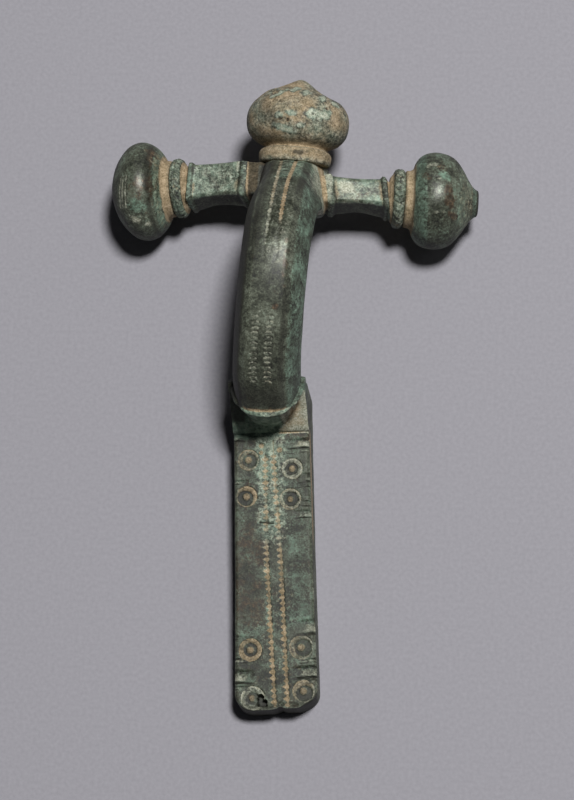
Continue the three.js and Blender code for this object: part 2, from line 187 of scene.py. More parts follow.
def move(x, y, z):
    return np.array(Matrix.Translation((x, y, z)))


def carried(points, place):
    """Points moved by a 4 x 4 matrix."""
    return points @ place[:3, :3].T + place[:3, 3]


def local(points, place):
    """Points seen from the frame that a 4 x 4 matrix carries."""
    return (points - place[:3, 3]) @ place[:3, :3]


def arm_place(arm):
    turned = turn("Z", -arm["sweep"] if arm["side"] > 0 else 180 + arm["sweep"])
    return move(0, arm["root"], ARM_Z) @ turned @ turn("Y", arm["drop"])


HEAD_PLACE = move(0.85, 3.55, 9.5) @ turn("Z", 86) @ turn("Y", -10)


# ---- meshes ----

def skin(loops):
    """A closed skin over loops (stations, points round, 3): quads between neighbouring loops, and each end
    closed by a fan to its middle. It is turned to face outwards by the sign of its volume."""
    n, m, _ = loops.shape
    points = np.vstack([loops.reshape(-1, 3), loops[0].mean(0), loops[-1].mean(0)])
    i, k = np.meshgrid(np.arange(n - 1) * m, np.arange(m), indexing="ij")
    a, b = (i + k).ravel(), (i + (k + 1) % m).ravel()
    sides = np.vstack([np.stack([a, b, a + m], 1), np.stack([b, b + m, a + m], 1)])
    ring = np.arange(m)
    after = (ring + 1) % m
    last = (n - 1) * m
    first_cap = np.stack([np.full(m, n * m), after, ring], 1)
    last_cap = np.stack([np.full(m, n * m + 1), last + ring, last + after], 1)
    faces = np.vstack([sides, first_cap, last_cap])
    p0, p1, p2 = (points[faces[:, c]] for c in range(3))
    if np.einsum("ij,ij->", p0, np.cross(p1, p2)) < 0:
        faces = faces[:, ::-1]
    return points, faces


def make(name, points, faces):
    """A mesh object with its place in its mesh."""
    mesh = bpy.data.meshes.new(name)
    mesh.from_pydata(((points + ORIGIN) * MM).tolist(), [], faces.tolist())
    mesh.update()
    made = bpy.data.objects.new(name, mesh)
    bpy.context.scene.collection.objects.link(made)
    return made


def joined(name, whole, operations):
    """The solid left after each (operation, tool) on whole. The tools are used up."""
    for operation, tool in operations:
        cut = whole.modifiers.new(operation, "BOOLEAN")
        cut.operation, cut.solver, cut.object = operation, "MANIFOLD", tool
    bpy.context.view_layer.update()
    graph = bpy.context.evaluated_depsgraph_get()
    mesh = bpy.data.meshes.new_from_object(whole.evaluated_get(graph))
    for used in [whole] + [tool for _, tool in operations]:
        bpy.data.objects.remove(used)
    mesh.name = name
    made = bpy.data.objects.new(name, mesh)
    bpy.context.scene.collection.objects.link(made)
    return made


class Surface:
    """A mesh's points, outward normals and neighbours as arrays, in the building millimetres."""

    def __init__(self, made):
        self.mesh = made.data
        self.count = len(self.mesh.vertices)
        raw = np.zeros(self.count * 3)
        self.mesh.vertices.foreach_get("co", raw)
        self.points = raw.reshape(-1, 3) / MM - ORIGIN
        edges = np.zeros(len(self.mesh.edges) * 2, int)
        self.mesh.edges.foreach_get("vertices", edges)
        a, b = edges.reshape(-1, 2).T
        owner, other = np.concatenate([a, b]), np.concatenate([b, a])
        order = np.argsort(owner, kind="stable")
        self.other = other[order]
        self.starts = np.searchsorted(owner[order], np.arange(self.count))
        self.degree = np.bincount(owner, minlength=self.count)[:, None]

    def normals(self):
        raw = np.zeros(self.count * 3)
        self.mesh.vertex_normals.foreach_get("vector", raw)
        return raw.reshape(-1, 3)

    def around(self, values):
        """For each point, the mean of values over its neighbours."""
        return np.add.reduceat(values[self.other], self.starts, axis=0) / self.degree

    def soften(self, values, times, share=0.5):
        """Values moved towards their neighbours' mean, times over. Share may differ from point to point."""
        for _ in range(times):
            values = values + (self.around(values) - values) * share
        return values

    def write(self, node):
        """Puts the points back in the mesh, held inside the box of the CAD node that the piece replaces."""
        low, high = (np.array(corner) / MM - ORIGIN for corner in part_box(node))
        np.clip(self.points, low + INSET, high - INSET, out=self.points)
        self.mesh.vertices.foreach_set("co", ((self.points + ORIGIN) * MM).ravel())
        self.mesh.update()

    def hollow(self, times, depth):
        """From -1 on a bump to 1 in a hollow: how far softening would lift a point, as a share of depth."""
        lift = np.einsum("ij,ij->i", self.soften(self.points, times) - self.points, self.normals())
        return np.clip(lift / depth, -1, 1)

    def paint(self, **masks):
        for name, values in masks.items():
            layer = self.mesh.attributes.new(name, "FLOAT", "POINT")
            layer.data.foreach_set("value", np.clip(values, 0, 1).astype(np.float32))


def mirrored(right):
    """Corners (stations, corners, 2) of a section, from its right half's (across, up) and their mirror."""
    whole = right + [(-across, up) for across, up in reversed(right)]
    return np.stack([np.stack(np.broadcast_arrays(across, up), 1) for across, up in whole], 1)


def polygon(corners, counts, passes):
    """Loops along a polygon that changes from station to station: corners (stations, corners, 2) and how
    many points each side gets. Passes of averaging with the neighbours ease the corners."""
    sides = np.concatenate([np.full(c, k) for k, c in enumerate(counts)])
    share = np.concatenate([np.arange(c) / c for c in counts])[:, None]
    after = (sides + 1) % corners.shape[1]
    loops = corners[:, sides] * (1 - share) + corners[:, after] * share
    for _ in range(passes):
        loops = (np.roll(loops, 1, 1) + 2 * loops + np.roll(loops, -1, 1)) / 4
    return loops


# ---- the casting's shells ----

def wander(y):
    """How far the bow's middle line stands to the right at y: it bends off to the left towards the foot."""
    down = np.clip(-y, -4, 28)
    return BOW_SHIFT[0] + BOW_SHIFT[1] * down + BOW_SHIFT[2] * down ** 2


BOW_COUNTS = (2, 4, 17, 4, 32, 4, 17, 4, 2, 12)


def bow_loops(t, proud, fall=0.32, passes=1):
    """Sections between the under line and the top line at shares t, grown by proud: a facet on top that
    falls away by the square of the way across, flanks that swell a little between ridge and edge, and a
    flat underside."""
    top, under = through(BOW_TOP, t), through(BOW_UNDER, t)
    up = unit(top - under)
    grow = proud[:, None]
    top, under = top + up * grow, under - up * grow
    facet = spread(FACET_HALF, t) + proud / 2
    flank = spread(FLANK_HALF, t) + proud
    right = [(flank - 0.5, 0.0), (flank, 0.1), (flank, 0.3), (facet + 0.35, 0.93), (facet - 0.3, 1.0)]
    loops = polygon(mirrored(right), BOW_COUNTS, passes)
    x, share = loops[..., 0], loops[..., 1]
    height = np.linalg.norm(top - under, axis=1)[:, None]
    eased = step(0.94 - 0.4 * fall, 1.0 - 0.1 * fall, share)
    share = share - fall / height * np.clip(x / facet[:, None], -1.2, 1.2) ** 2 * eased
    x = x + np.sign(x) * 0.2 * np.sin(np.pi * np.clip((share - 0.3) / 0.65, 0, 1))
    y = lerp(under[:, None, 0], top[:, None, 0], share)
    z = lerp(under[:, None, 1], top[:, None, 1], share)
    return np.stack([x + wander(y), y, z], 2)


def bow_shell():
    t = np.linspace(0, 1, 262)
    return skin(bow_loops(t, np.zeros_like(t)))


def rim_shell():
    """The moulding: the bow's end section carried down its line, standing proud by a half round."""
    u = np.linspace(0, 1, 17)
    loops = bow_loops(np.ones_like(u), 0.1 + RIM_PROUD * np.sin(np.pi * u), 0.75, 5)
    end = through(BOW_TOP, np.array([0.995, 1.0]))
    along = (u - 0.5)[:, None] * RIM_LENGTH
    loops[..., 1:] += (along * unit(end[1] - end[0]))[:, None]
    return skin(loops)


def block_shell():
    """Under the moulding the bow's end section drops to the foot plate and rounds forward over its head."""
    u = np.linspace(0, 1, 30)
    loops = np.repeat(bow_loops(np.ones(1), np.full(1, -0.25), 0.75, 5), len(u), 0)
    drop = u[:, None]
    loops[..., 2] = lerp(loops[..., 2], 5.6, drop)
    front = step(-30.0, -32.0, loops[..., 1])
    loops[..., 1] = np.maximum(loops[..., 1], -32.75) - 0.25 * front * np.sin(np.pi * drop)
    return skin(loops)


def arm_shell(arm):
    """A bar with leaning sides, swollen into two cross ridges with a dished facet between them."""
    x = np.linspace(2, 14.4, 68)
    grow = np.interp(x, [2, 4.3, 5.1, 5.35, 5.95, 6.2, 12.65, 12.85, 13.35, 13.6, 14.4],
                     [0, 0, -0.05, 0.3, 0.32, 0, 0, 0.33, 0.33, -0.25, -0.25])
    u = np.clip((x - 6.2) / 6.45, 0, 1)
    grow = grow - 0.2 * np.sin(np.pi * u)
    arch = 0.7 * np.sin(np.pi * u) ** 2
    top, bottom = arm["width"] / 2 + grow, arm["width"] / 2 + 0.35 + grow
    high, low = ARM_HALF + grow, -ARM_HALF - grow + arch
    right = [(bottom - 0.35, low), (bottom, low + 0.35), (top, high - 0.35), (top - 0.35, high)]
    loops = polygon(mirrored(right), (3, 13, 3, 24, 3, 13, 3, 9), 1)
    y, z = loops[..., 0], loops[..., 1]
    towards_head = step(0.5, 1.8, y * arm["side"])
    y = y + arm["side"] * towards_head * (arm["fuller"] + 0.12 * np.sin(np.pi * u))[:, None]
    return skin(carried(np.stack([x[:, None] - arm["slant"] * arm["side"] * y, y, z], 2), arm_place(arm)))


def ring_shell(arm):
    """A ring whose rim is cut by worn chevron notches: its radius falls by up to 0.25 where a saw-tooth of
    the angle, pushed along by the place across the rim, is near a whole number, less where wear has
    reached."""
    profile = np.array([(13.6, 0.6), (13.6, 3.0), (RING_AT - 0.15, 3.1), (RING_AT, 3.5),
                        (RING_AT + 0.2, 3.85), (RING_AT + 0.7, 4.1), (RING_END - 0.3, 3.95), (RING_END, 3.6),
                        (RING_END + 0.02, 3.0), (RING_END + 0.02, 0.6)])
    arc = run_along(profile)
    s = np.r_[np.linspace(0, 2.7, 6), np.linspace(2.85, 5.1, 24), np.linspace(5.3, arc[-1], 8)]
    x = np.interp(s, arc, profile[:, 0])[:, None]
    r = np.interp(s, arc, profile[:, 1])[:, None]
    angle = round_angles(190)[None]
    chevron = np.abs((x - (RING_AT + 0.8)) / 0.8)
    bent = angle + 0.05 * np.sin(3 * angle + 1.0) + 0.03 * np.sin(7 * angle)
    tooth = 1 - saw(bent * 11 / np.pi + 0.5 * chevron)
    kept = 0.55 + 0.45 * np.sin(2 * angle + 0.6) * np.sin(5 * angle + 2.0)
    cut = 0.25 * kept * step(0.5, 0.0, tooth) * step(3.2, 3.7, r)
    r = r - cut - 0.10 * step(0.25, 0, chevron) * step(3.9, 4.0, r)
    return skin(carried(round_loops(x, r, angle), arm_place(arm)))


def foot_half(d):
    """Half width of the foot at distance d from its head, rounded in at the corners of its end."""
    into = np.clip(FOOT_CORNER - (FOOT_LONG - d), 0, FOOT_CORNER)
    return spread(FOOT_HALF, d / FOOT_LONG) - (FOOT_CORNER - np.sqrt(FOOT_CORNER ** 2 - into ** 2))


def foot_top(d):
    return lerp(FOOT_TOP[0], FOOT_TOP[1], np.clip(d / FOOT_LONG, 0, 1))


def on_foot(a, d, z):
    """Points at a across and d down the foot, in building millimetres."""
    x, y = FOOT_X + a * FOOT_COS + d * FOOT_SIN, FOOT_Y + a * FOOT_SIN - d * FOOT_COS
    return np.stack([x, y, z + 0 * a], -1)


def from_foot(p):
    """Across and down the foot for points in building millimetres."""
    x, y = p[:, 0] - FOOT_X, p[:, 1] - FOOT_Y
    return x * FOOT_COS + y * FOOT_SIN, x * FOOT_SIN - y * FOOT_COS


def foot_shell():
    """A plate with upright sides, its end rounded over and pulled in at the right, where a corner is lost."""
    end = FOOT_LONG - 0.01
    d = np.r_[np.linspace(-5.5, -0.3, 10), np.linspace(0, end - 0.01, 285), np.full(8, end)]
    shrink = np.r_[np.ones(295), np.linspace(0.95, 0.08, 8)]
    half, top = foot_half(d), foot_top(d)
    right = [(half, 0 * d), (half, top - 0.4), (half - 0.4, top)]
    loops = polygon(mirrored(right), (12, 4, 78, 4, 12, 10), 1)
    sag = 0.35 * step(FOOT_LONG - 0.9, FOOT_LONG, d)[:, None]
    loops[..., 1] -= sag * loops[..., 1] / top[:, None]
    middle = (top / 2)[:, None]
    a = loops[..., 0] * shrink[:, None]
    z = middle + (loops[..., 1] - middle) * shrink[:, None]
    lost = 0.15 * step(-1.5, 1.0, a) + 0.4 * step(2.4, 4.4, a) + 0.25 * np.exp(-((a - 0.5) / 0.45) ** 2)
    d = d[:, None] - lost * step(FOOT_LONG - 4, FOOT_LONG, d)[:, None]
    return skin(on_foot(a, d, z))


def heel_shell():
    """The wedge between plate and bow: a side outline given width, its cheeks closed by shrunken copies."""
    outline = polygon(HEEL[None], (20, 20, 6, 24, 14), 1)[0]
    middle = outline.mean(0)
    half = FOOT_HALF[0]
    a = np.r_[np.full(5, -half), np.linspace(-half, half, 26), np.full(5, half)]
    size = np.r_[np.linspace(0.1, 0.9, 5), np.full(26, 1), np.linspace(0.9, 0.1, 5)]
    size[5] = size[-6] = 0.97
    loops = middle + (outline[None] - middle) * size[:, None, None]
    return skin(on_foot(a[:, None], loops[..., 0], loops[..., 1]))


def box_shell(x0, x1, y0, y1, z0, z1, place=np.eye(4)):
    loops = [[(x0, y0, z), (x1, y0, z), (x1, y1, z), (x0, y1, z)] for z in (z0, z1)]
    return skin(carried(np.array(loops, float), place))


def sheath_shells():
    """The hollow under the foot and its mouth, open past the lip, where the pin lies."""
    inner = FOOT_HALF[0] - 1.25
    d = np.array([-8.3, 0, FOOT_LONG - 4.2])
    floor_z, roof = np.ones(3), foot_top(d) - 1.5
    a = np.array([inner, inner, -inner, -inner])
    up = np.stack([floor_z, roof, roof, floor_z], 1)
    hollow = skin(on_foot(a + 0 * d[:, None], d[:, None], up))
    d = np.array([-8.3, FOOT_LONG - 2.7])
    lip = -FOOT_X - 1.35 - d * math.tan(FOOT_YAW)
    a = np.stack([0 * d + inner, 0 * d + inner, lip, lip], 1)
    mouth = skin(on_foot(a, d[:, None], np.array([-1.0, 1.5, 1.5, -1.0])[None]))
    return hollow, mouth


def drum_shell(radius, half, round_steps=48):
    """A straight drum about the hinge's line."""
    angle = round_angles(round_steps)
    ring = np.stack([0 * angle, radius * np.cos(angle), HINGE_Z + radius * np.sin(angle)], 1)
    return skin(np.stack([ring + (-half, 0, 0), ring + (half, 0, 0)]))


# ---- cut and punched ornament on the foot ----

# Each eye: how far down and across its middle is, its outer radius, its ring's width, how much wider the
# ring is on one side, at which angle, its dot's radius, and how tan and how chalky its ring is.
EYES = (
    (3.56, -3.1, 1.42, 0.50, 0.20, 150, 0.50, 0.40, 0.25),
    (8.5, -3.43, 1.40, 0.40, 0.24, 60, 0.50, 0.62, 0.3),
    (4.93, 2.7, 1.40, 0.58, 0.10, 10, 0.46, 0.22, 0.65),
    (9.02, 2.38, 1.44, 0.48, 0.10, 200, 0.42, 0.36, 0.4),
    (28.97, -3.29, 1.54, 0.62, 0.06, 230, 0.50, 0.62, 0.4),
    (28.84, 3.44, 1.62, 0.52, 0.26, 170, 0.52, 0.40, 0.35),
    (35.35, -3.06, 1.60, 0.78, 0.06, 150, 0.46, 0.15, 0.6),
    (34.6, 3.65, 1.48, 0.44, 0.34, 110, 0.50, 0.5, 0.5),
)
# Each dot: how far down and across its middle is, and its radius.
DOTS = ((1.70, -1.35, 0.38), (2.64, -1.43, 0.33), (2.33, 1.06, 0.40))
# Each nick: how far down it is, its side (left -1), its half length, how far in from the edge it reaches, its
# depth, and how strongly its slope gets soil and a painted pale highlight.
NICKS = ((0.36, -1, 0.55, 1.7, 0.35, 0.7), (6.48, -1, 0.26, 2.2, 0.28, 0.7), (27.3, -1, 0.24, 1.8, 0.22, 0.3),
         (30.3, -1, 0.26, 2.0, 0.30, 1.0), (32.4, -1, 0.85, 2.6, 0.55, 1.0), (33.9, -1, 0.26, 2.3, 0.28, 0.6),
         (1.45, 1, 0.62, 3.2, 0.50, 1.0), (2.45, 1, 0.22, 3.4, 0.22, 0.5), (6.1, 1, 0.55, 1.2, 0.40, 0.5),
         (7.1, 1, 0.3, 2.2, 0.24, 0.3), (9.6, 1, 0.35, 1.4, 0.35, 0.5), (11.0, 1, 0.5, 2.4, 0.4, 0.7),
         (26.1, 1, 0.95, 2.6, 0.42, 0.9), (30.55, 1, 0.24, 2.9, 0.30, 0.7), (32.0, 1, 0.75, 3.3, 0.60, 0.8),
         (33.3, 1, 0.22, 1.3, 0.25, 0.6))
TOOTH = 0.79  # from one punch mark to the next down the twin lines
# The twin lines: how far down they are measured, and how far across each lies there.
TWIN_DOWN = (3.05, 17.1, 36.2)
TWIN_ACROSS = ((-0.84, -0.90, -0.21), (0.24, 0.95, 1.48))


class PatinaAndPaintedLight(dict):
    """How much of each coat lies on every point, from 0 to 1, beside any other measure laid with them. Some
    coats also hold painted light and shade: the dark coat paints shade, and pale and green paint light, where
    marked.
    """

    def __init__(self, like):
        coats = ("soil", "pale", "dark", "brown", "green", "wear")
        super().__init__({coat: np.zeros_like(like) for coat in coats})

    def lay(self, where=1.0, **coats):
        """Raises each named coat to its share of where, wherever there is less of it."""
        for coat, share in coats.items():
            self[coat] = np.maximum(self.get(coat, 0.0), where * share)

    def strip(self, where, *coats):
        """Takes the named coats off, wholly where where is 1."""
        for coat in coats:
            self[coat] = self[coat] * (1 - where)


def cut_eye(cut, x, y, radius, width, more, way, dot, tan, chalk):
    """A sunk disc with a filled ring inside its edge, a bare dark ring inside that, and a filled dot. The
    ring's width changes by the cosine of the angle from the way it was bitten; ring and dot swell by a
    parabola."""
    r = np.hypot(x, y)
    inner = radius - np.maximum(width + more * np.cos(np.arctan2(y, x) - math.radians(way)), 0.16)
    sunk = step(radius + 0.10, radius - 0.06, r)
    ring = step(inner - 0.08, inner + 0.08, r) * sunk
    swell = np.clip(1 - ((r - (inner + radius) / 2) / ((radius - inner) / 2)) ** 2, 0, 1)
    mark = step(dot + 0.08, dot - 0.06, r)
    dome = np.clip(1 - (r / dot) ** 2, 0, 1)
    bare = sunk * (1 - ring) * (1 - mark)
    lip = ring * step(radius - 0.32, radius - 0.12, r)
    collar = step(radius + 0.32, radius + 0.14, r) * step(radius + 0.02, radius + 0.10, r)
    cut.lay(deep=0.16 * sunk - 0.12 * swell * ring - 0.14 * dome * mark + 0.06 * bare,
            soil=np.maximum((0.2 + 0.9 * tan) * ring, 0.85 * mark * (0.7 + 0.3 * dome)),
            pale=(0.25 + 0.7 * chalk) * ring * (0.6 + 0.4 * lip) + 0.25 * dome * mark,
            dark=np.maximum(0.62 * bare * step(radius - 0.1, inner - 0.1, r), 0.35 * collar))


def cut_twin(cut, x, d, number):
    """A run of teeth down the foot, x across from its middle: each tooth is a triangle pointing left, or a
    diamond near the head, worn shallow a third of the way down."""
    place = d / TOOTH + 0.5 * number
    odd = cell(np.floor(place).astype(np.int64), 3, 0, 5 + number)
    tooth = saw(place) * (0.75 + 0.5 * odd)
    left = 0.10 + 0.40 * tooth
    right = lerp(0.10 + 0.34 * tooth, 0.24 + 0.14 * tooth, step(8, 13, d))
    inside = step(-left - 0.05, -left + 0.09, x) * step(right + 0.05, right - 0.09, x)
    inside = inside * band(d, 2.7, 3.1, 36.4, 36.9)
    worn = band(d, 11.5, 13.5, 16.5, 18.5)
    gap = band(d, 12.5, 14, 14.5, 16)
    filled = (0.50 + 0.14 * tooth + 0.3 * odd) * lerp(0.8, 1.0, step(14, 28, d)) - 0.25 * gap
    cut.lay(inside, deep=0.10 - 0.075 * worn, soil=filled, pale=(0.35 + 0.3 * odd) * step(0.3, 0.8, tooth))


def cut_nick(cut, down, inward, long, reach, most, slope_highlight_and_soil):
    """A groove, down from its middle and inward from the plate's edge, where it is deepest: its floor climbs
    down the foot to a short steep drop. The climbing floor is painted pale as a highlight, brighter further
    down, and the drop is painted dark as shade."""
    v = (down - 0.066 * inward) / long
    slope = np.interp(v, [-1.15, -0.8, 0.75, 0.95, 1.25], [0, 1.0, 0.25, 0.85, 0])
    wedge = (1 - np.clip(inward / reach, 0, 1)) ** 0.6
    facet = band(v, -0.9, -0.3, 0.55, 0.9) * step(0.15, 0.75, wedge)
    line = band(v, 0.75, 0.9, 1.1, 1.3) * step(0.05, 0.3, wedge)
    cut.strip(facet, "soil", "pale", "dark")
    # Painted highlight on the climbing floor, brighter down it, and painted shade on the dark line at the
    # drop.
    cut.lay(deep=most * slope * wedge, soil=0.42 * slope_highlight_and_soil * facet, dark=0.9 * line,
            pale=slope_highlight_and_soil * facet * (0.38 + 0.3 * step(-0.6, 0.6, v)) * wedge ** 0.4)


def foot_ornament(a, d):
    """How deep the plate's face is cut at a across and d down it, and the coats that lie in the cuts."""
    cut = PatinaAndPaintedLight(a)
    for down, across, *sizes in EYES:
        cut_eye(cut, a - across, down - d, *sizes)
    for down, across, radius in DOTS:
        cut.lay(step(radius + 0.08, radius - 0.08, np.hypot(a - across, d - down)), deep=0.14, soil=0.62)
    for number, ends in enumerate(TWIN_ACROSS):
        cut_twin(cut, a - np.interp(d, TWIN_DOWN, ends), d, number)
    thin = step(0.13, 0.05, np.abs(a - 0.22)) * band(d, 0.8, 1.0, 3.0, 3.2)
    scratch = step(0.14, 0.05, np.abs(d - 12.2 - 0.1 * a)) * band(a, -2.1, -1.6, -0.1, 0.3)
    cut.lay(deep=0.12 * thin + 0.22 * scratch, soil=0.5 * thin, dark=scratch)
    half = foot_half(d)
    for down, side, *sizes in NICKS:
        cut_nick(cut, d - down, half - side * a, *sizes)
    torn = 0.04 * np.sin(7 * a) + 0.05 * np.sin(9 * d + 2)
    upright = step(0.42, 0.32, np.abs(a + 2.02 + torn)) * step(34.85, 35.0, d)
    crosswise = step(0.64, 0.52, np.abs(a + 1.8)) * step(35.6, 35.75, d + torn)
    hole = np.maximum(upright, crosswise) * step(36.45, 36.3, d)
    cut.strip(hole, "soil", "pale")
    cut.lay(hole, deep=1.3, dark=1.0)
    return cut


# ---- the finished casting ----

BOW_LINE = through(BOW_TOP, np.linspace(0, 1, 400))
BOW_RUN = run_along(BOW_LINE)
BOW_SLOPE = np.gradient(BOW_LINE[:, 1], BOW_LINE[:, 0])
# Each punched line on the bow: how far across it lies from head to rim, how full of soil its grooves are,
# how far down they are as full as that, and how pale its rubbed part is.
PUNCHED = (
    ((-1.05, -0.7, -0.75, -1.15, -1.15), 0.55, 15.0, 0.48),
    ((1.1, 0.85, 0.8, 0.75, 0.75), 0.9, 19.0, 0.20),
)
PUNCH, ARCH = 0.8, 0.72  # from one tooth to the next, and from one arch to the next


def bow_lines(x, run):
    """The bow's two punched lines: saw-toothed grooves near the head, rubbed away over the crown, then
    small arches. Each arch is where the run down the bow, less a share of the square of the way across, is
    whole."""
    cut = PatinaAndPaintedLight(x)
    for number, (ends, fullest, full_to, rubbed) in enumerate(PUNCHED):
        off = x - spread(ends, run / BOW_RUN[-1])
        away = np.abs(off)
        tooth = saw(run / PUNCH + 0.3 * number)
        groove = step(0.30, 0.12, away - 0.14 * tooth) * step(27.0, 19.0, run)
        arch = step(0.3, 0.8, saw((run - 0.55 * off ** 2) / ARCH)) * step(0.66, 0.42, away)
        arch = arch * band(run, 32, 35, 43.4, 44.4)
        beaded = 0.35 + 0.65 * cell(np.floor(run / PUNCH).astype(np.int64), number, 7, 3)
        trace = step(0.28, 0.06, away - 0.1 * tooth) * band(run, 3, 7, 24, 30) * beaded
        filled = fullest * step(25.0, full_to, run) * step(0.2, 1.0, run)
        cut.lay(deep=0.10 * groove + 0.10 * arch + 0.03 * trace,
                soil=groove * filled + 0.40 * arch * step(38, 43, run) * number,
                pale=0.5 * arch + rubbed * trace + 0.26 * groove)
    return cut


def finish_arm(p, n, coat, arm):
    """An arm's root and neck full of soil, a pale top on the root painted as light against the bow's shadow,
    its two notched cross ridges, and the patina of facet and ring.
    """
    place, side = arm_place(arm), arm["side"]
    q = local(p, place)
    x, y = q[:, 0] + arm["slant"] * side * q[:, 1], q[:, 1] * side
    near = (np.abs(q[:, 1]) < 4.4) * (np.abs(q[:, 2]) < 4.4) * 1.0
    turn_up = step(0.3, 0.7, n @ place[:3, 2])
    root = step(lerp(4.3, 3.3, turn_up), lerp(4.6, 3.8, turn_up), x)
    root = root * step(5.3, 5.0, x) * step(-2.0, 0.5, q[:, 2])
    neck = step(13.35, 13.55, x) * step(RING_AT + 0.15, RING_AT - 0.1, q[:, 0])
    coat.lay(near * root, fillet=1.0, soil=1.0)
    coat.lay(near * neck, fillet=0.6, soil=1.0)
    cross = near * (band(x, 5.15, 5.3, 5.9, 6.1) + band(x, 12.7, 12.9, 13.35, 13.5))
    notch = 1 - saw(q[:, 1] / 0.95 + 0.35 + 0.2 * noise(p, 1.2, 19))
    p -= n * (0.08 * cross * step(0.55, 0.15, notch))[:, None]
    coat.lay(cross, dark=0.5 * step(0.7, 0.2, notch), green=0.35, pale=0.25)
    # Painted light: a pale top on the root, which lifts the bow's shadow there.
    coat.lay(near * band(x, 3.0, 3.4, 4.9, 5.1) * (q[:, 2] > 1.5), pale=0.6)
    plate = near * band(x, 6.1, 6.4, 12.5, 12.8) * step(1.4, 2.0, q[:, 2])
    ends = np.maximum(step(7.6, 6.4, x), step(11.6, 12.6, x))
    coat.lay(plate, smooth=1.0, wear=0.5)
    if side < 0:
        coat.lay(plate, green=0.42, pale=0.36, soil=0.6 * ends * step(0.6, -0.8, y))
        chalky = step(7.4, 6.3, x) * step(0.2, 1.2, y)
    else:
        coat.lay(plate, green=0.45 + 0.3 * noise(p, 1.6, 25), pale=0.34,
                 brown=0.62 * step(0.6, -0.4, y + 0.5 * noise(p, 1.5, 23)),
                 soil=0.6 * np.maximum(ends, step(0.8, 1.4, y)))
        chalky = step(1.6, 0.6, np.abs(x - 7.9)) * step(1.3, 0.5, np.abs(y - 0.4))
    coat.lay(plate * chalky, pale=0.7)
    last = near * step(15.6, 15.8, q[:, 0])
    bead = near * step(RING_AT - 0.05, RING_AT + 0.1, q[:, 0]) * (1 - last)
    coat.lay(last, soil=1.0)
    coat.lay(bead, green=0.3, pale=0.3, soil=0.35 + 0.2 * noise(p, 1.3, 29))


def finish_rim(p, n, coat, a, d, across, on_plate):
    """The moulding between bow and foot, e along the bow from its middle, and the block below it: green and
    pale, with soil in its grooves, a band of painted shade just under the moulding, a wedge of soil on the
    block's right painted pale as light, the rest of the block and the plate's head in the moulding's shadow
    painted green and pale as light, and soil low on the foot's right wall."""
    tip, inner = BOW_TOP[-1], BOW_UNDER[-1]
    e = (p[:, 1:] - tip) @ unit(tip - BOW_LINE[-4])
    rise = (p[:, 1:] - inner) @ unit(tip - inner)
    near = (rise > -1.5) * (rise < 8.5) * (np.abs(across) < 6.2) * 1.0
    coat.lay(near * step(0.6, 0.35, np.abs(e)), soil=0.42 * step(2.5, 4.5, rise) * step(0.25, -0.1, e),
             pale=0.38 * step(-4.2, 1.0, across), green=0.5)
    coat.lay(near * band(e, -1.5, -0.8, -0.5, -0.35) * (np.abs(across) < 2.6), brown=0.4)
    coat.lay(near * band(e, -1.0, -0.6, -0.45, -0.3) * step(3.4, 2.6, np.abs(across)), soil=0.8)
    # Painted shade: a dark band on the block just under the moulding.
    coat.lay(near * band(e, 0.5, 0.7, 1.8, 3.2), dark=0.4)
    coat.lay(near * step(0.9, 0.5, np.abs(e - 0.9)), fillet=0.5)
    block = (d < 0.15) * (d > -6.4) * (p[:, 2] < 14.2) * (e > 0.5) * ((n[:, 1] < -0.3) | (n[:, 2] > 0.25))
    # The wedge is tan soil; its pale is painted light, making it as bright as a face turned to the lamp.
    wedge = block * step(0.9, 1.5, a + 0.57 * d + 0.25 * noise(p, 1.1, 17))
    coat.lay(wedge, soil=0.66 + 0.3 * noise(p, 1.4, 27), pale=0.8)
    # Painted light: green and pale lift the block's shadowed part and the plate's head in the moulding's
    # shadow.
    painted_light_in_shadow = np.maximum(block * (1 - wedge), on_plate * step(1.2, 0.4, d) * step(3.0, 1.0, a))
    coat.lay(painted_light_in_shadow, green=0.7, pale=0.3)
    coat.lay(on_plate * step(1.4, 0.4, d) * step(0.0, 2.0, a), brown=0.5)
    below = foot_top(d) - p[:, 2]
    wall = band(d, -2.5, 1.0, 12, 19) * (a > 3.8) * step(0.3, 0.7, n[:, 0])
    coat.lay(wall * band(below, 0.5, 0.9, 2.4, 3.6), soil=0.9)


def finish_foot(p, n, coat, a, d, plate):
    """The foot: its end wall painted dark as shade and bare of soil, its left wall half dark as painted
    shade, brown and dark clouds over the plate, green by the twin lines.
    """
    # Painted shade: the end wall and the left wall, which turn away from the light, are laid dark.
    painted_shade_end_wall = step(FOOT_LONG - 2.5, FOOT_LONG - 1.5, d) * step(0.3, 0.6, -n[:, 1]) * step(0.7, 0.2, n[:, 2])
    painted_shade_left_wall = step(-0.6, -0.9, n[:, 0]) * (d > 0) * (a < -4)
    coat.lay(dark=np.maximum(painted_shade_end_wall, 0.5 * painted_shade_left_wall))
    coat.strip(painted_shade_end_wall, "soil", "pale")
    middle = plate * band(d, 10.5, 13.0, 25.0, 27.5)
    clouds = 0.5 + 0.5 * rough(p, 4.0, 3, 61)
    by_lines = plate * step(3.0, 1.4, np.abs(a + 0.1 * (d < 20))) * lerp(1.0, 0.4, step(12, 16, d))
    coat.lay(middle * step(-0.6, -1.6, a), brown=0.25 + 0.5 * clouds, dark=0.18 + 0.42 * clouds)
    coat.lay(plate, brown=0.35 * clouds, dark=(0.26 + 0.3 * (1 - clouds)) * (1 - 0.5 * by_lines))
    coat.lay(green=plate * 0.34 * clouds + middle * 0.3 * step(1.2, 2.4, a) * (1 - clouds))
    coat.lay(by_lines, green=0.42, pale=0.36)


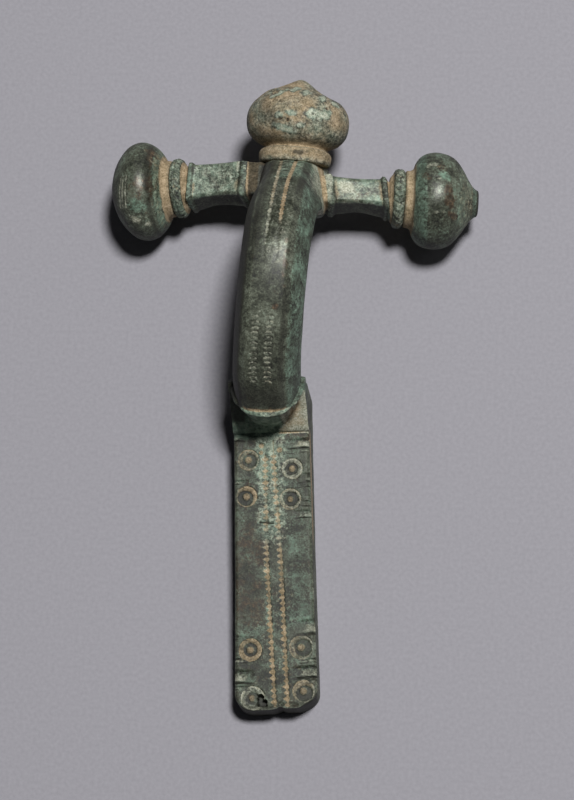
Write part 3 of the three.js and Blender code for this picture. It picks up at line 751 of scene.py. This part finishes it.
def finish_bow(p, coat, bow, across, run, under):
    """The bow: soil where it meets the crossbar, dark strips beside its facet, the left one dark oxide and
    painted shade together, painted shade over its left flank, brown specks, a rubbed crown, a greener right
    flank and a pale shoulder near the head, with a painted highlight on the right flank there."""
    coat.lay(bow * step(2.7, 3.4, p[:, 1]) * (p[:, 2] > 9.0), soil=0.8)
    coat.lay(bow * band(run, 22, 26, 28, 31) * step(0.5, 0.2, np.abs(across - 2.1)), brown=0.5)
    coat.lay(bow * step(0.6, 0.2, np.hypot(across - 1.35, (run - 33.0) / 1.2)), brown=0.8)
    # Along the facet's left edge the dark strip is dark oxide and also painted shade on the side turned from
    # the light.
    left_edge_oxide_and_shade = band(run, 2, 4, 22, 34) * step(0.95, 0.4, np.abs(across + 2.15))
    by_right = band(run, 1.5, 3, 14, 20) * step(0.75, 0.3, np.abs(across - 2.6))
    lower = step(14, 20, run) * step(0.6, 0.2, np.abs(across - 2.4)) * lerp(0.4, 1, step(26, 36, run))
    last_facet = step(43, 45.5, run) * step(3.0, 2.4, np.abs(across))
    coat.lay(bow, dark=np.maximum(0.62 * np.maximum(left_edge_oxide_and_shade, by_right), 0.6 * np.maximum(lower, last_facet)))
    # Painted shade: the left flank, turned from the light, is laid dark.
    coat.lay(bow, dark=0.8 * step(-2.6, -3.2, across + 0.3 * noise(p, 2.0, 63)))
    crown = band(run, 8, 16, 24, 34) * step(0.8, 0.4, under) * step(2.2, 1.2, np.abs(across - 0.8))
    coat.lay(bow * crown, wear=0.75, smooth=1.0, pale=0.26)
    coat.lay(bow * step(2.6, 3.2, across), green=0.36, dark=0.22 * step(10, 18, run))
    # Painted highlight: the shoulder's extra pale on the right flank stands for the lamp's highlight there.
    shoulder = bow * band(run, 0.4, 1.0, 9, 16) * step(-1.6, -0.6, across)
    coat.lay(shoulder, green=0.42, pale=0.28 + 0.3 * step(3.0, 3.8, across))
    by_head = step(0.55, 0.85, np.sin(across * 4.2 + 0.8)) * step(3.2, 2.4, np.abs(across))
    coat.lay(bow * by_head * step(2.2, 0.8, run), pale=0.4, soil=0.35)


def finish_body(s):
    """Cuts the ornament, wears the edges, gathers soil in the hollows and marks each patina, with painted
    light and shade laid among them.
    """
    p, n = s.points, s.normals()
    coat = PatinaAndPaintedLight(p[:, 0])
    a, d = from_foot(p)
    on_plate = step(-0.25, 0.05, d) * step(0.75, 0.35, foot_top(d) - p[:, 2]) * step(37.2, 36.8, d)
    marks = foot_ornament(a, d)
    foot_cut = marks.pop("deep") * on_plate
    p[:, 2] -= foot_cut
    coat.lay(on_plate, **marks)

    along = (BOW_LINE[:, 1], BOW_SLOPE, BOW_RUN)
    line_z, slope, run = (np.interp(-p[:, 1], -BOW_LINE[:, 0], values) for values in along)
    under = (line_z - p[:, 2]) / np.sqrt(1 + slope ** 2)
    across = p[:, 0] - wander(p[:, 1])
    bow = step(-32.2, -31.6, p[:, 1]) * step(1.0, 0.0, (np.abs(across) - 5.6) * 3) * (p[:, 2] > 8)
    facet = bow * step(0.6, 0.3, under) * step(2.9, 2.5, np.abs(across))
    marks = bow_lines(across, run)
    bow_cut = marks.pop("deep") * facet
    p -= n * bow_cut[:, None]
    coat.lay(facet, **marks)

    coat.lay(bow, smooth=0.6)
    for arm in ARMS.values():
        finish_arm(p, n, coat, arm)
    finish_rim(p, n, coat, a, d, across, on_plate)
    plate = on_plate * (n[:, 2] > 0.6)
    finish_foot(p, n, coat, a, d, plate)
    finish_bow(p, coat, bow, across, run, under)

    fillet, even = coat.pop("fillet")[:, None], 1 - 0.8 * coat.pop("smooth")
    p[:] = lerp(p, s.soften(p, 6, fillet * 0.6), fillet)
    dents = 0.045 * rough(p, 3.2, 3, 11) + 0.018 * even * rough(p, 0.8, 2, 31)
    pits = step(0.45, 0.8, rough(p, 0.75, 2, 51)) * (0.045 + 0.02 * plate) * even
    p += n * (dents - pits * (1 - np.clip(np.maximum(bow_cut * 4, foot_cut * 3), 0, 1)))[:, None]
    s.write("body")
    s.paint(hollow=0.25 * (s.hollow(5, 0.06) + s.hollow(60, 0.25)) + 0.5, **coat)


def cast_body():
    sheath, mouth = sheath_shells()
    solids = [rim_shell(), block_shell(), foot_shell(), heel_shell()]
    for arm in ARMS.values():
        solids += [arm_shell(arm), ring_shell(arm)]
    tools = [("UNION", make("part", *shell)) for shell in solids]
    hollows = (sheath, mouth, box_shell(-1.6, 1.6, -5.4, 2.95, -1, 9.8), drum_shell(HINGE_HOLE, 4.3),
               box_shell(0, 9, -9, 9, -9, 12, HEAD_PLACE))
    tools += [("DIFFERENCE", make("tool", *shell)) for shell in hollows]
    body = joined("cast_body", make("bow", *bow_shell()), tools)
    finish_body(Surface(body))
    body.data.shade_smooth()
    body.data.set_sharp_from_angle(angle=math.radians(48))
    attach(body, "brooch")
    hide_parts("body")
    return body


# ---- knobs ----

def turned(profile, rings, around, place, shape=None):
    """A profile (out, radius) turned round X, its poles closed, and bent by shape(loops) before place
    carries it. Points are spread evenly along the profile's smooth line."""
    line = through(np.array(profile, float), np.linspace(0, 1, 900))
    arc = run_along(line)
    s = np.linspace(0, arc[-1], rings)
    out, radius = (np.interp(s, arc, line[:, c])[:, None] for c in (0, 1))
    radius = np.maximum(radius, 0.03)
    loops = round_loops(out, radius, round_angles(around)[None])
    if shape is not None:
        loops = shape(loops)
    return skin(carried(loops, place))


def spots(u, v, *rows):
    """Soft-edged oval patches on 0: each row is how strong it is, its middle's u and v, its half width and
    half height, and how many degrees it leans."""
    ragged = 0.22 * np.sin(5.1 * u + 1.3 * v) * np.sin(4.3 * v - 2.1 * u)
    total = 0 * u
    for strong, at_u, at_v, wide, tall, lean in rows:
        c, s = math.cos(math.radians(lean)), math.sin(math.radians(lean))
        x, y = (u - at_u) * c + (v - at_v) * s, (v - at_v) * c - (u - at_u) * s
        total = np.maximum(total, strong * step(1.45, 0.35, np.hypot(x / wide, y / tall) + ragged))
    return total


# Three directions at the knobs: towards the eye that looks over the brooch from the foot's end, to the
# right across that view, and up it towards the head.
OVER = np.array([0.096, -0.258, 0.961])
RIGHTWARD = np.array([0.995, 0.029, -0.092])
HEADWARD = np.array([-0.0047, 0.9657, 0.2596])

# Each knob's patches on its upper side, as rows for spots, coat by coat.
LEFT_SPOTS = {
    "pale": ((0.6, -1.1, -4.1, 0.9, 0.5, -25), (0.6, 0.7, -4.6, 0.6, 0.35, 20)),
    "brown": ((1.0, 1.35, 4.2, 1.0, 1.6, 30), (0.7, 0.9, 0.6, 0.8, 2.4, 0), (0.6, -0.9, -0.2, 1.2, 1.9, 0)),
    "wear": ((0.85, 0.1, 1.0, 2.2, 3.0, 8),),
    "green": ((0.5, -0.8, -2.3, 1.6, 1.2, 0),),
}
RIGHT_SPOTS = {
    "pale": ((0.6, 0.2, 2.7, 0.35, 0.2, 0), (0.45, -0.6, 4.6, 1.4, 0.3, 15)),
    "brown": ((0.9, 1.6, 0.1, 0.8, 1.9, 10), (0.9, 2.0, -2.3, 0.7, 0.8, 0), (0.9, -1.5, 3.1, 0.9, 0.8, 0),
              (0.63, 0.7, 4.5, 0.8, 0.8, 0)),
    "wear": ((0.85, 0.3, 0.6, 1.8, 2.9, -4),),
}
HEAD_SPOTS = {
    "brown": ((0.6, 0.4, 2.6, 2.6, 0.8, 0), (0.6, 0.6, 0.2, 1.3, 1.5, 0), (0.6, 5.2, 0.6, 0.9, 1.6, 0),
              (0.6, 1.6, -2.6, 2.4, 0.7, 0)),
    "dark": ((0.55, -2.9, -0.2, 1.2, 1.3, 0), (0.5, -4.5, 1.4, 1.4, 2.2, 0), (0.7, -3.2, 3.7, 0.5, 0.3, 30)),
    "wear": ((0.7, -3.2, 1.3, 0.5, 0.7, -30), (0.7, 1.7, 0.9, 0.5, 0.4, 0)),
}
HEAD_CRUST = ((1, 1.9, 0.7, 1.0, 0.75, 0), (1, 3.4, 0.5, 1.1, 0.7, 10), (1, -0.9, 0.8, 0.7, 0.4, -10),
              (1, 0.3, -0.9, 0.6, 0.35, 0), (1, 1.0, 3.6, 0.7, 0.45, 0), (1, -0.4, 4.1, 0.8, 0.35, 20),
              (1, 3.3, 2.9, 0.5, 0.6, 0), (1, -2.6, 0.5, 0.5, 0.5, 0), (1, -2.0, -1.2, 1.6, 0.5, -15),
              (1, 4.9, 2.2, 0.7, 0.35, -40), (1, -2.6, 3.5, 1.4, 0.3, 25))
HEAD_HOLES = ((1, 2.0, 0.6, 0.2, 0.2, 0), (1, 3.9, 1.4, 0.2, 0.2, 0), (1, -2.5, 0.05, 0.3, 0.25, 0),
              (1, -1.4, -0.1, 0.25, 0.3, 0))


def left_marks(u, v, q, facing, coat):
    """The left knob: a soiled flare at its root, three scratches bent by a square of the way along them,
    and pale veins where noise is near 0. Returns how far its skin is raised."""
    x = q[:, 0]
    lift = 0 * u
    flare = band(x, 0.7, 1.1, 1.5, 2.0)
    coat.lay(soil=0.5 * flare, green=np.maximum(0.12, 0.45 * flare),
             dark=0.45 * band(x, 1.9, 2.15, 2.4, 2.9) + 0.15)
    for at, bend in ((-2.9, 0.035), (-2.45, 0.03), (-3.25, 0.04)):
        line = step(0.16, 0.05, np.abs(u - at - bend * (v + 0.6) ** 2)) * facing
        line = line * step(2.6, 2.0, np.abs(v + 0.4))
        coat.lay(line, pale=0.55)
        lift -= 0.05 * line
    veins = step(0.16, 0.03, np.abs(noise(q, 1.5, 33)))
    where = spots(u, v, (0.5, -0.4, 3.2, 1.9, 1.3, -10), (0.3, -0.6, -3.8, 2.2, 1.3, 0))
    coat.lay(veins * facing, pale=where)
    return lift


def right_marks(u, v, q, facing, coat):
    """The right knob: a green and soiled cone with a dark end, turquoise blotches on its right, and a pale
    vein across it that noise bends and breaks. Returns how far its skin is raised."""
    x = q[:, 0]
    cone = step(6.4, 7.2, x)
    coat.lay(soil=np.maximum(0.44 * cone * step(9.4, 8.9, x), 0.42 * step(2.1, 1.6, x)), pale=0.1 * cone,
             green=np.maximum(0.16, 0.32 * cone), dark=np.maximum(0.1, step(9.45, 9.7, x)))
    coat.lay(band(x, 1.4, 1.8, 2.2, 2.9), dark=0.35)
    blotches = step(-0.5, 0.4, noise(q, 0.9, 39)) * facing
    coat.lay(blotches, green=spots(u, v, (0.65, 2.35, 0.6, 0.42, 1.6, -6), (0.455, 1.0, 3.1, 1.1, 0.7, -30)))
    coat.lay(facing * step(-0.9, -1.7, u), green=0.42)
    vein = step(0.5, 0.05, np.abs(v + 2.05 + 0.1 * u + 0.5 * noise(q, 0.8, 35))) * facing
    vein = 0.75 * vein * step(2.3, 1.6, np.abs(u - 0.5)) * step(-0.3, 0.5, noise(q, 0.55, 43))
    coat.lay(vein, pale=0.6)
    return 0.03 * vein


def head_marks(u, v, q, facing, coat):
    """The head knob: soil over it and in its neck, a browner collar, raised green and chalky crust, small
    holes and a lost chip. Returns how far its skin is raised."""
    x = q[:, 0]
    crust, holes = facing * spots(u, v, *HEAD_CRUST), facing * spots(u, v, *HEAD_HOLES)
    collar, nipple = step(2.1, 1.9, x), step(9.2, 10.2, x)
    coat.lay(step(2.2, 2.6, x), soil=0.64 + 0.28 * noise(q, 1.8, 37))
    coat.lay(band(x, 1.9, 2.1, 2.45, 2.75), soil=1.0)
    coat.lay(collar, soil=0.72 + 0.2 * step(0.6, 1.3, x), brown=0.9 * step(0.75, 0.35, x),
             dark=facing * spots(u, v, (0.8, 0.2, -4.35, 1.2, 0.45, 0)))
    coat.lay(nipple, soil=0.5, pale=0.3)
    coat.strip(0.7 * crust, "soil")
    coat.lay(green=np.maximum(0.26, 0.75 * crust), pale=np.maximum(0.62 * crust, 0.42 * facing), dark=holes)
    return 0.05 * crust - 0.16 * holes - spots(u, v, (0.35, -3.1, 3.9, 0.55, 0.4, 30))


def knob(name, node, profile, rings, around, place, widest, patches, marks, shape=None, soil_to=1.0):
    """One onion knob: turned, dented, pitted, buried in soil out to soil_to from its root, and marked by its
    patches and by marks(u, v, q, facing, coat). There u and v are millimetres to the right and towards the
    head from the middle of its widest place, and q is measured in the knob's own frame."""
    made = make(name, *turned(profile, rings, around, place, shape))
    s = Surface(made)
    p, n = s.points, s.normals()
    middle = carried(np.array([[widest, 0.0, 0.0]]), place)[0]
    u, v = (p - middle) @ RIGHTWARD, (p - middle) @ HEADWARD
    facing = step(-0.1, 0.25, n @ OVER)
    q = local(p, place)
    coat = PatinaAndPaintedLight(u)
    coat.lay(soil=step(soil_to + 0.35, soil_to - 0.25, q[:, 0] + 0.15 * noise(p, 1.5, 7)))
    lift = marks(u, v, q, facing, coat)
    coat.lay(facing, **{name: spots(u, v, *rows) for name, rows in patches.items()})
    even = 1 - 0.85 * coat["wear"]
    bumps = 0.04 * rough(p, 3.0, 3, 71) + 0.016 * even * rough(p, 0.8, 2, 81)
    pits = 0.07 * step(0.5, 0.75, rough(p, 0.8, 2, 91)) * (1 - coat["soil"]) * even
    p += n * (bumps - pits + lift)[:, None]
    s.write(node)
    s.paint(hollow=0.5 * s.hollow(8, 0.05) + 0.5, **coat)
    made.data.shade_smooth()
    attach(made, "brooch")
    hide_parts(node)
    return made


# The knobs' profiles: how far out along the knob's axis, and the radius there.
LEFT_PROFILE = ((0, 0), (0, 1.9), (0, 3.75), (0.45, 3.85), (0.85, 4.1), (1.15, 4.75), (1.6, 5.4), (2.1, 5.9),
                (2.9, 6.42), (4.05, 6.68), (5.4, 6.3), (6.55, 5.25), (7.5, 3.85), (8.1, 2.2), (8.32, 0.9),
                (8.34, 0))
RIGHT_PROFILE = ((0, 0), (0, 1.9), (0, 3.75), (0.5, 3.85), (0.9, 4.1), (1.15, 4.85), (1.75, 5.75), (2.6, 6.3),
                 (3.8, 6.53), (5.2, 6.38), (6.3, 5.9), (7.05, 5.2), (7.75, 4.25), (8.4, 3.2), (9.05, 2.25),
                 (9.5, 1.87), (9.8, 1.72), (9.9, 1.3), (9.88, 0.6), (9.88, 0))
HEAD_PROFILE = ((0.06, 0), (0.06, 2.5), (0.06, 4.3), (0.2, 4.75), (0.8, 4.9), (1.5, 4.88), (1.95, 4.55),
                (2.2, 4.15), (2.5, 4.5), (3.2, 5.8), (4.3, 6.65), (5.75, 6.93), (7.2, 6.72), (8.3, 6.05),
                (9.45, 4.65), (10.2, 3.05), (10.85, 1.9), (11.4, 1.0), (11.7, 0.35), (11.74, 0))


def tilted_nipple(loops):
    """The head knob's shoulder raised by 0.25 on its left and lowered by 0.35 on its right."""
    x, y = loops[..., 0], loops[..., 1]
    near = band(x, 8.5, 9.8, 10.7, 11.7)
    loops[..., 0] = x + near * (0.25 * np.clip(y / 4, 0, 1) - 0.35 * np.clip(-y / 4, 0, 1))
    return loops


def on_arm(arm):
    return arm_place(arm) @ move(ARM_END, 0, 0)


# ---- pin and hinge rod ----

def frame_body(node):
    """The CAD body that a node belongs to."""
    groups = frame["record"]["behaviour"]["bodies"]
    return next(body for body, nodes in groups.items() if node in nodes)


def pin_piece():
    """The pin: a round bar on a bent line, thinning by a power of the way down it, and its eye and hole."""
    line = np.array([(-0.4, 5.9), (-6, 5.35), (-16, 4.5), (-28, 3.75), (-44, 3.05), (-62, 2.6)])
    t = np.linspace(0, 1, 240)
    middle = through(line, t)
    way = unit(np.gradient(middle, axis=0))
    radius = (0.95 - 0.77 * t ** 2.2)[:, None]
    angle = round_angles(28)[None]
    side, lift = radius * np.cos(angle), radius * np.sin(angle)
    loops = np.stack([side, middle[:, :1] - lift * way[:, 1:], middle[:, 1:] + lift * way[:, :1]], 2)
    eye = drum_shell(1.9, 1.3, 72)
    hole = drum_shell(HINGE_HOLE, 2.0)
    tools = [("UNION", make("eye", *eye)), ("DIFFERENCE", make("hole", *hole))]
    pin = joined("pin_bar", make("bar", *skin(loops)), tools)
    edge = pin.modifiers.new("worn edge", "BEVEL")
    edge.width, edge.segments, edge.limit_method, edge.angle_limit = 0.12 * MM, 2, "ANGLE", math.radians(50)
    pin.data.shade_smooth()
    pin.data.set_sharp_from_angle(angle=math.radians(40))
    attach(pin, "pin")
    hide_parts("pin")
    return pin


def rod_piece():
    """The rod: a turned bar with rounded, hammered ends."""
    half, radius = 4.19, 0.89
    right_end = ((2, radius), (half - 0.3, radius), (half - 0.08, 0.75), (half, 0.4), (half, 0))
    profile = tuple((-out, r) for out, r in reversed(right_end)) + right_end
    rod = make("hinge_bar", *turned(profile, 60, 40, move(0, 0, HINGE_Z)))
    rod.data.shade_smooth()
    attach(rod, frame_body("hinge_rod"))
    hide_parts("hinge_rod")
    return rod


# ---- materials ----

def linear(colour):
    """An sRGB hex colour as linear red, green, blue and alpha."""
    parts = [int(colour[i:i + 2], 16) / 255 for i in (1, 3, 5)]
    return [c / 12.92 if c <= 0.04045 else ((c + 0.055) / 1.055) ** 2.4 for c in parts] + [1.0]


def add(tree, kind, inputs=(), out=0, stops=(), **settings):
    """A node with its settings, its inputs given as values or as the sockets that feed them, and the colour
    stops of its ramp. Returns the output asked for, if one is."""
    made = tree.nodes.new(kind)
    for name, value in settings.items():
        setattr(made, name, value)
    for name, value in dict(inputs).items():
        socket = made.inputs[name]
        if isinstance(value, bpy.types.NodeSocket):
            tree.links.new(value, socket)
        else:
            socket.default_value = value
    if stops:
        band = made.color_ramp.elements
        for place, _ in stops[1:-1]:
            band.new(place)
        for element, (place, colour) in zip(band, stops):
            element.position, element.color = place, linear(colour)
    return None if out is None else made.outputs[out]


def empty_material(name):
    """A new material and its node tree, with nothing in it."""
    material = bpy.data.materials.new(name)
    material.use_nodes = True
    material.node_tree.nodes.clear()
    return material, material.node_tree


def patinated_bronze():
    """Cast leaded bronze under a stable green patina: dark olive to grey-green with finer speckle, turquoise
    and chalky crusts, red-brown oxide, tan soil in every hollow, and a duller shine where handling rubbed it.
    The dark, pale and green masks also bring in painted shade and painted light."""
    material, tree = empty_material("patinated_cast_bronze")
    place = add(tree, "ShaderNodeTexCoord", out="Object")
    grains = {}
    for name, size, detail, roughness, distortion in (
            ("broad", 7, 3, 0.6, 0), ("patch", 2.2, 5, 0.62, 0.5), ("lump", 1.0, 4, 0.6, 0.3),
            ("speck", 0.45, 4, 0.7, 0), ("grit", 0.22, 2, 0.6, 0), ("pore", 0.6, 2, 0.5, 0)):
        texture = {"Vector": place, "Scale": 1 / (size * MM), "Detail": detail, "Roughness": roughness}
        grains[name] = add(tree, "ShaderNodeTexNoise", {**texture, "Distortion": distortion})
    masks = {name: add(tree, "ShaderNodeAttribute", out="Fac", attribute_name=name)
             for name in ("soil", "pale", "dark", "brown", "green", "wear", "hollow")}
    sources = {**grains, **masks}
    calm = add(tree, "ShaderNodeMath", {0: masks["wear"], 1: 0.6}, operation="MULTIPLY")
    sources["speck"] = add(tree, "ShaderNodeMix", {0: calm, 2: grains["speck"], 3: 0.5}, data_type="FLOAT")

    # Each coat: the shares of the sources that say where it lies, and the level they are added to; the sums
    # at which it starts and is full; its strength at most; the shares that its tint follows, and their level;
    # its tints; and how much it dulls the surface.
    blacks = ((0.35, "#12120d"), (0.65, "#2b2a21"))
    coats = (
        ("bare patina", dict(), 1.0, (0.0, 0.5), 1.0,
         dict(patch=0.5, speck=0.5, broad=0.3, grit=0.35, hollow=-0.16), -0.24,
         ((0.38, "#1d1f1a"), (0.47, "#34372c"), (0.55, "#4a4e41"), (0.64, "#666b5c"), (0.76, "#8e9282")),
         0.0),
        ("brown oxide", dict(brown=0.45, lump=1.0), 0.0, (0.60, 0.84), 1.0, dict(speck=1.0), 0.0,
         ((0.35, "#272119"), (0.5, "#41372a"), (0.65, "#6b563f")), 0.0),
        # Green bloom, also painted light where green is laid to lift shadowed parts.
        ("green bloom", dict(green=0.45, patch=0.5, speck=0.5, grit=0.4), -0.175, (0.58, 0.84), 1.0,
         dict(lump=0.6, patch=0.165, speck=0.15, green=0.135), 0.0,
         ((0.42, "#46584a"), (0.52, "#617666"), (0.62, "#7f9a86"), (0.74, "#a3bea8")), 0.0),
        # Chalky crust, also painted light where pale is laid as a highlight or to lift a shadow.
        ("chalky crust", dict(pale=0.6, speck=0.75, lump=0.35), 0.0, (0.66, 1.05), 0.9, dict(grit=1.0), 0.0,
         ((0.35, "#8f917c"), (0.52, "#b4b5a0"), (0.68, "#d6d6c6")), 0.12),
        ("tan soil", dict(soil=0.8, speck=0.7, hollow=0.4), -0.42, (0.38, 0.86), 0.95,
         dict(lump=0.5, grit=0.5), 0.0,
         ((0.36, "#6f6149"), (0.47, "#928062"), (0.56, "#ab977a"), (0.66, "#c6b394")), 0.3),
        # Dark oxide, also painted shade where dark is laid on walls and flanks turned from the light.
        ("dark oxide", dict(dark=0.85, speck=0.5), 0.0, (0.42, 1.02), 0.88, dict(grit=1.0), 0.0,
         blacks, 0.0),
        ("pinholes", dict(pore=-1.0, wear=-0.1), 0.0, (-0.32, -0.25), 0.65, dict(grit=1.0), 0.0,
         blacks, 0.0),
    )
    colour, gloss = (0.0, 0.0, 0.0, 1.0), 0.52
    for _, lies, base, (starts, full), most, follows, tint_base, tints, duller in coats:
        level = {"lies": base, "follows": tint_base}
        for way, shares in (("lies", lies), ("follows", follows)):
            for name, share in shares.items():
                level[way] = add(tree, "ShaderNodeMath", {0: sources[name], 1: share, 2: level[way]},
                                 operation="MULTIPLY_ADD")
        spread_over = {"Value": level["lies"], "From Min": starts, "From Max": full, "To Max": most}
        amount = add(tree, "ShaderNodeMapRange", spread_over, interpolation_type="SMOOTHSTEP")
        tint = add(tree, "ShaderNodeValToRGB", {"Fac": level["follows"]}, stops=tints)
        colour = add(tree, "ShaderNodeMix", {0: amount, 6: colour, 7: tint}, out=2, data_type="RGBA")
        if duller:
            gloss = add(tree, "ShaderNodeMath", {0: amount, 1: duller, 2: gloss}, operation="MULTIPLY_ADD")
    for source, share in ((sources["speck"], 0.33), (masks["wear"], -0.36)):
        gloss = add(tree, "ShaderNodeMath", {0: source, 1: share, 2: gloss}, operation="MULTIPLY_ADD")
    grain = {0: grains["grit"], 1: 0.5, 2: sources["speck"]}
    grain = add(tree, "ShaderNodeMath", grain, operation="MULTIPLY_ADD")
    bump = add(tree, "ShaderNodeBump", {"Height": grain, "Strength": 0.4, "Distance": 0.07 * MM})
    metal = add(tree, "ShaderNodeMath", {0: masks["wear"], 1: 0.4}, operation="MULTIPLY")
    shader = add(tree, "ShaderNodeBsdfPrincipled", {"Base Color": colour, "Roughness": gloss, "Normal": bump,
                                                    "Metallic": metal})
    add(tree, "ShaderNodeOutputMaterial", {"Surface": shader}, out=None)
    return material


def drawn_bronze():
    """Drawn bronze wire gone brown and green, smoother than the casting."""
    material, tree = empty_material("drawn_bronze_wire")
    place = add(tree, "ShaderNodeTexCoord", out="Object")
    patch = add(tree, "ShaderNodeTexNoise", {"Vector": place, "Scale": 1 / (1.6 * MM), "Detail": 5.0})
    speck = add(tree, "ShaderNodeTexNoise", {"Vector": place, "Scale": 1 / (0.3 * MM), "Detail": 3.0})
    tone = add(tree, "ShaderNodeMath", {0: patch, 1: 0.6, 2: 0.2}, operation="MULTIPLY_ADD")
    colour = add(tree, "ShaderNodeValToRGB", {"Fac": tone},
                 stops=((0.4, "#2c2a20"), (0.5, "#4c4635"), (0.58, "#57614e"), (0.7, "#86907a")))
    bump = add(tree, "ShaderNodeBump", {"Height": speck, "Strength": 0.4, "Distance": 0.06 * MM})
    gloss = add(tree, "ShaderNodeMath", {0: speck, 1: 0.3, 2: 0.28}, operation="MULTIPLY_ADD")
    shader = add(tree, "ShaderNodeBsdfPrincipled", {"Base Color": colour, "Roughness": gloss, "Normal": bump,
                                                    "Metallic": 0.4})
    add(tree, "ShaderNodeOutputMaterial", {"Surface": shader}, out=None)
    return material


def matt_board():
    """A sheet of pale matt card: almost one tone, with a faint felt of fibres."""
    material, tree = empty_material("pale_matt_card")
    place = add(tree, "ShaderNodeTexCoord", out="Object")
    felt = add(tree, "ShaderNodeTexNoise", {"Vector": place, "Scale": 1 / (0.5 * MM), "Detail": 4.0})
    colour = add(tree, "ShaderNodeValToRGB", {"Fac": felt}, stops=((0.3, "#918f95"), (0.7, "#99979d")))
    bump = add(tree, "ShaderNodeBump", {"Height": felt, "Strength": 0.15, "Distance": 0.1 * MM})
    shader = add(tree, "ShaderNodeBsdfPrincipled", {"Base Color": colour, "Roughness": 0.9, "Normal": bump})
    add(tree, "ShaderNodeOutputMaterial", {"Surface": shader}, out=None)
    return material


# ---- the brooch ----

left, right = ARMS["left"], ARMS["right"]
bronze, wire = patinated_bronze(), drawn_bronze()
castings = [
    cast_body(),
    knob("left_onion", "left_knob", LEFT_PROFILE, 120, 260, on_arm(left), 4.05, LEFT_SPOTS, left_marks),
    knob("right_onion", "right_knob", RIGHT_PROFILE, 130, 260, on_arm(right), 4.25, RIGHT_SPOTS, right_marks,
         soil_to=1.15),
    knob("head_onion", "head_knob", HEAD_PROFILE, 150, 270, HEAD_PLACE, 5.95, HEAD_SPOTS, head_marks,
         tilted_nipple, soil_to=-2.0),
]
for pieces, metal in ((castings, bronze), ((pin_piece(), rod_piece()), wire)):
    for piece in pieces:
        piece.data.materials.clear()
        piece.data.materials.append(metal)

# ---- floor, light and camera ----

FLOOR_HALF, FLOOR_THICK = 1500, 2.0
floor = make("floor", *box_shell(-FLOOR_HALF, FLOOR_HALF, -FLOOR_HALF, FLOOR_HALF, -FLOOR_THICK, 0.0))
floor.data.materials.append(matt_board())

AIM = Vector(ORIGIN + (0.542, -28.412, 6.745)) * MM


def shone(name, way, distance, size, power, colour="#ffffff"):
    """A soft square light that far from the brooch along way, facing it."""
    data = bpy.data.lights.new(name, "AREA")
    data.shape, data.size, data.energy, data.color = "DISK", size, power, linear(colour)[:3]
    lamp = bpy.data.objects.new(name, data)
    towards = Vector(way).normalized()
    lamp.location = AIM + towards * distance
    lamp.rotation_euler = towards.to_track_quat("Z", "Y").to_euler()
    bpy.context.scene.collection.objects.link(lamp)


shone("softbox", (0.22, 0.16, 0.96), 0.9, 0.17, 9.2)
shone("fill", (0.7, 0.3, 0.6), 1.2, 0.9, 0.45)

world = bpy.data.worlds.new("studio")
world.use_nodes = True
world.node_tree.nodes["Background"].inputs["Color"].default_value = linear("#dfe2e8")
world.node_tree.nodes["Background"].inputs["Strength"].default_value = 0.035
bpy.context.scene.world = world
bpy.context.scene.view_settings.view_transform = "Standard"

LENS_SHARE = 3375 / 800  # the focal length over the longer side of the sensor
EYE_AWAY = 0.45  # metres from the point looked at to the camera
# The view is tipped 15 degrees from straight down towards the foot, 5.5 to the right, and turned by 1.74.
tip, lean, roll = (math.radians(v) for v in (15.0, 5.5, 1.74))
out = Vector((math.sin(lean), -math.sin(tip) * math.cos(lean), math.cos(tip) * math.cos(lean)))
sideways = Vector((0, 1, 0)).cross(out).normalized()
upward = out.cross(sideways)
x_axis = sideways * math.cos(roll) + upward * math.sin(roll)
y_axis = upward * math.cos(roll) - sideways * math.sin(roll)
camera = bpy.data.objects.new("camera", bpy.data.cameras.new("camera"))
camera.data.sensor_width = 36.0
camera.data.lens = 36.0 * LENS_SHARE
camera.data.clip_start, camera.data.clip_end = 0.01, 20.0
placed = Matrix((x_axis, y_axis, out)).transposed().to_4x4()
placed.translation = AIM + out * EYE_AWAY
camera.matrix_world = placed
bpy.context.scene.collection.objects.link(camera)
bpy.context.scene.camera = camera
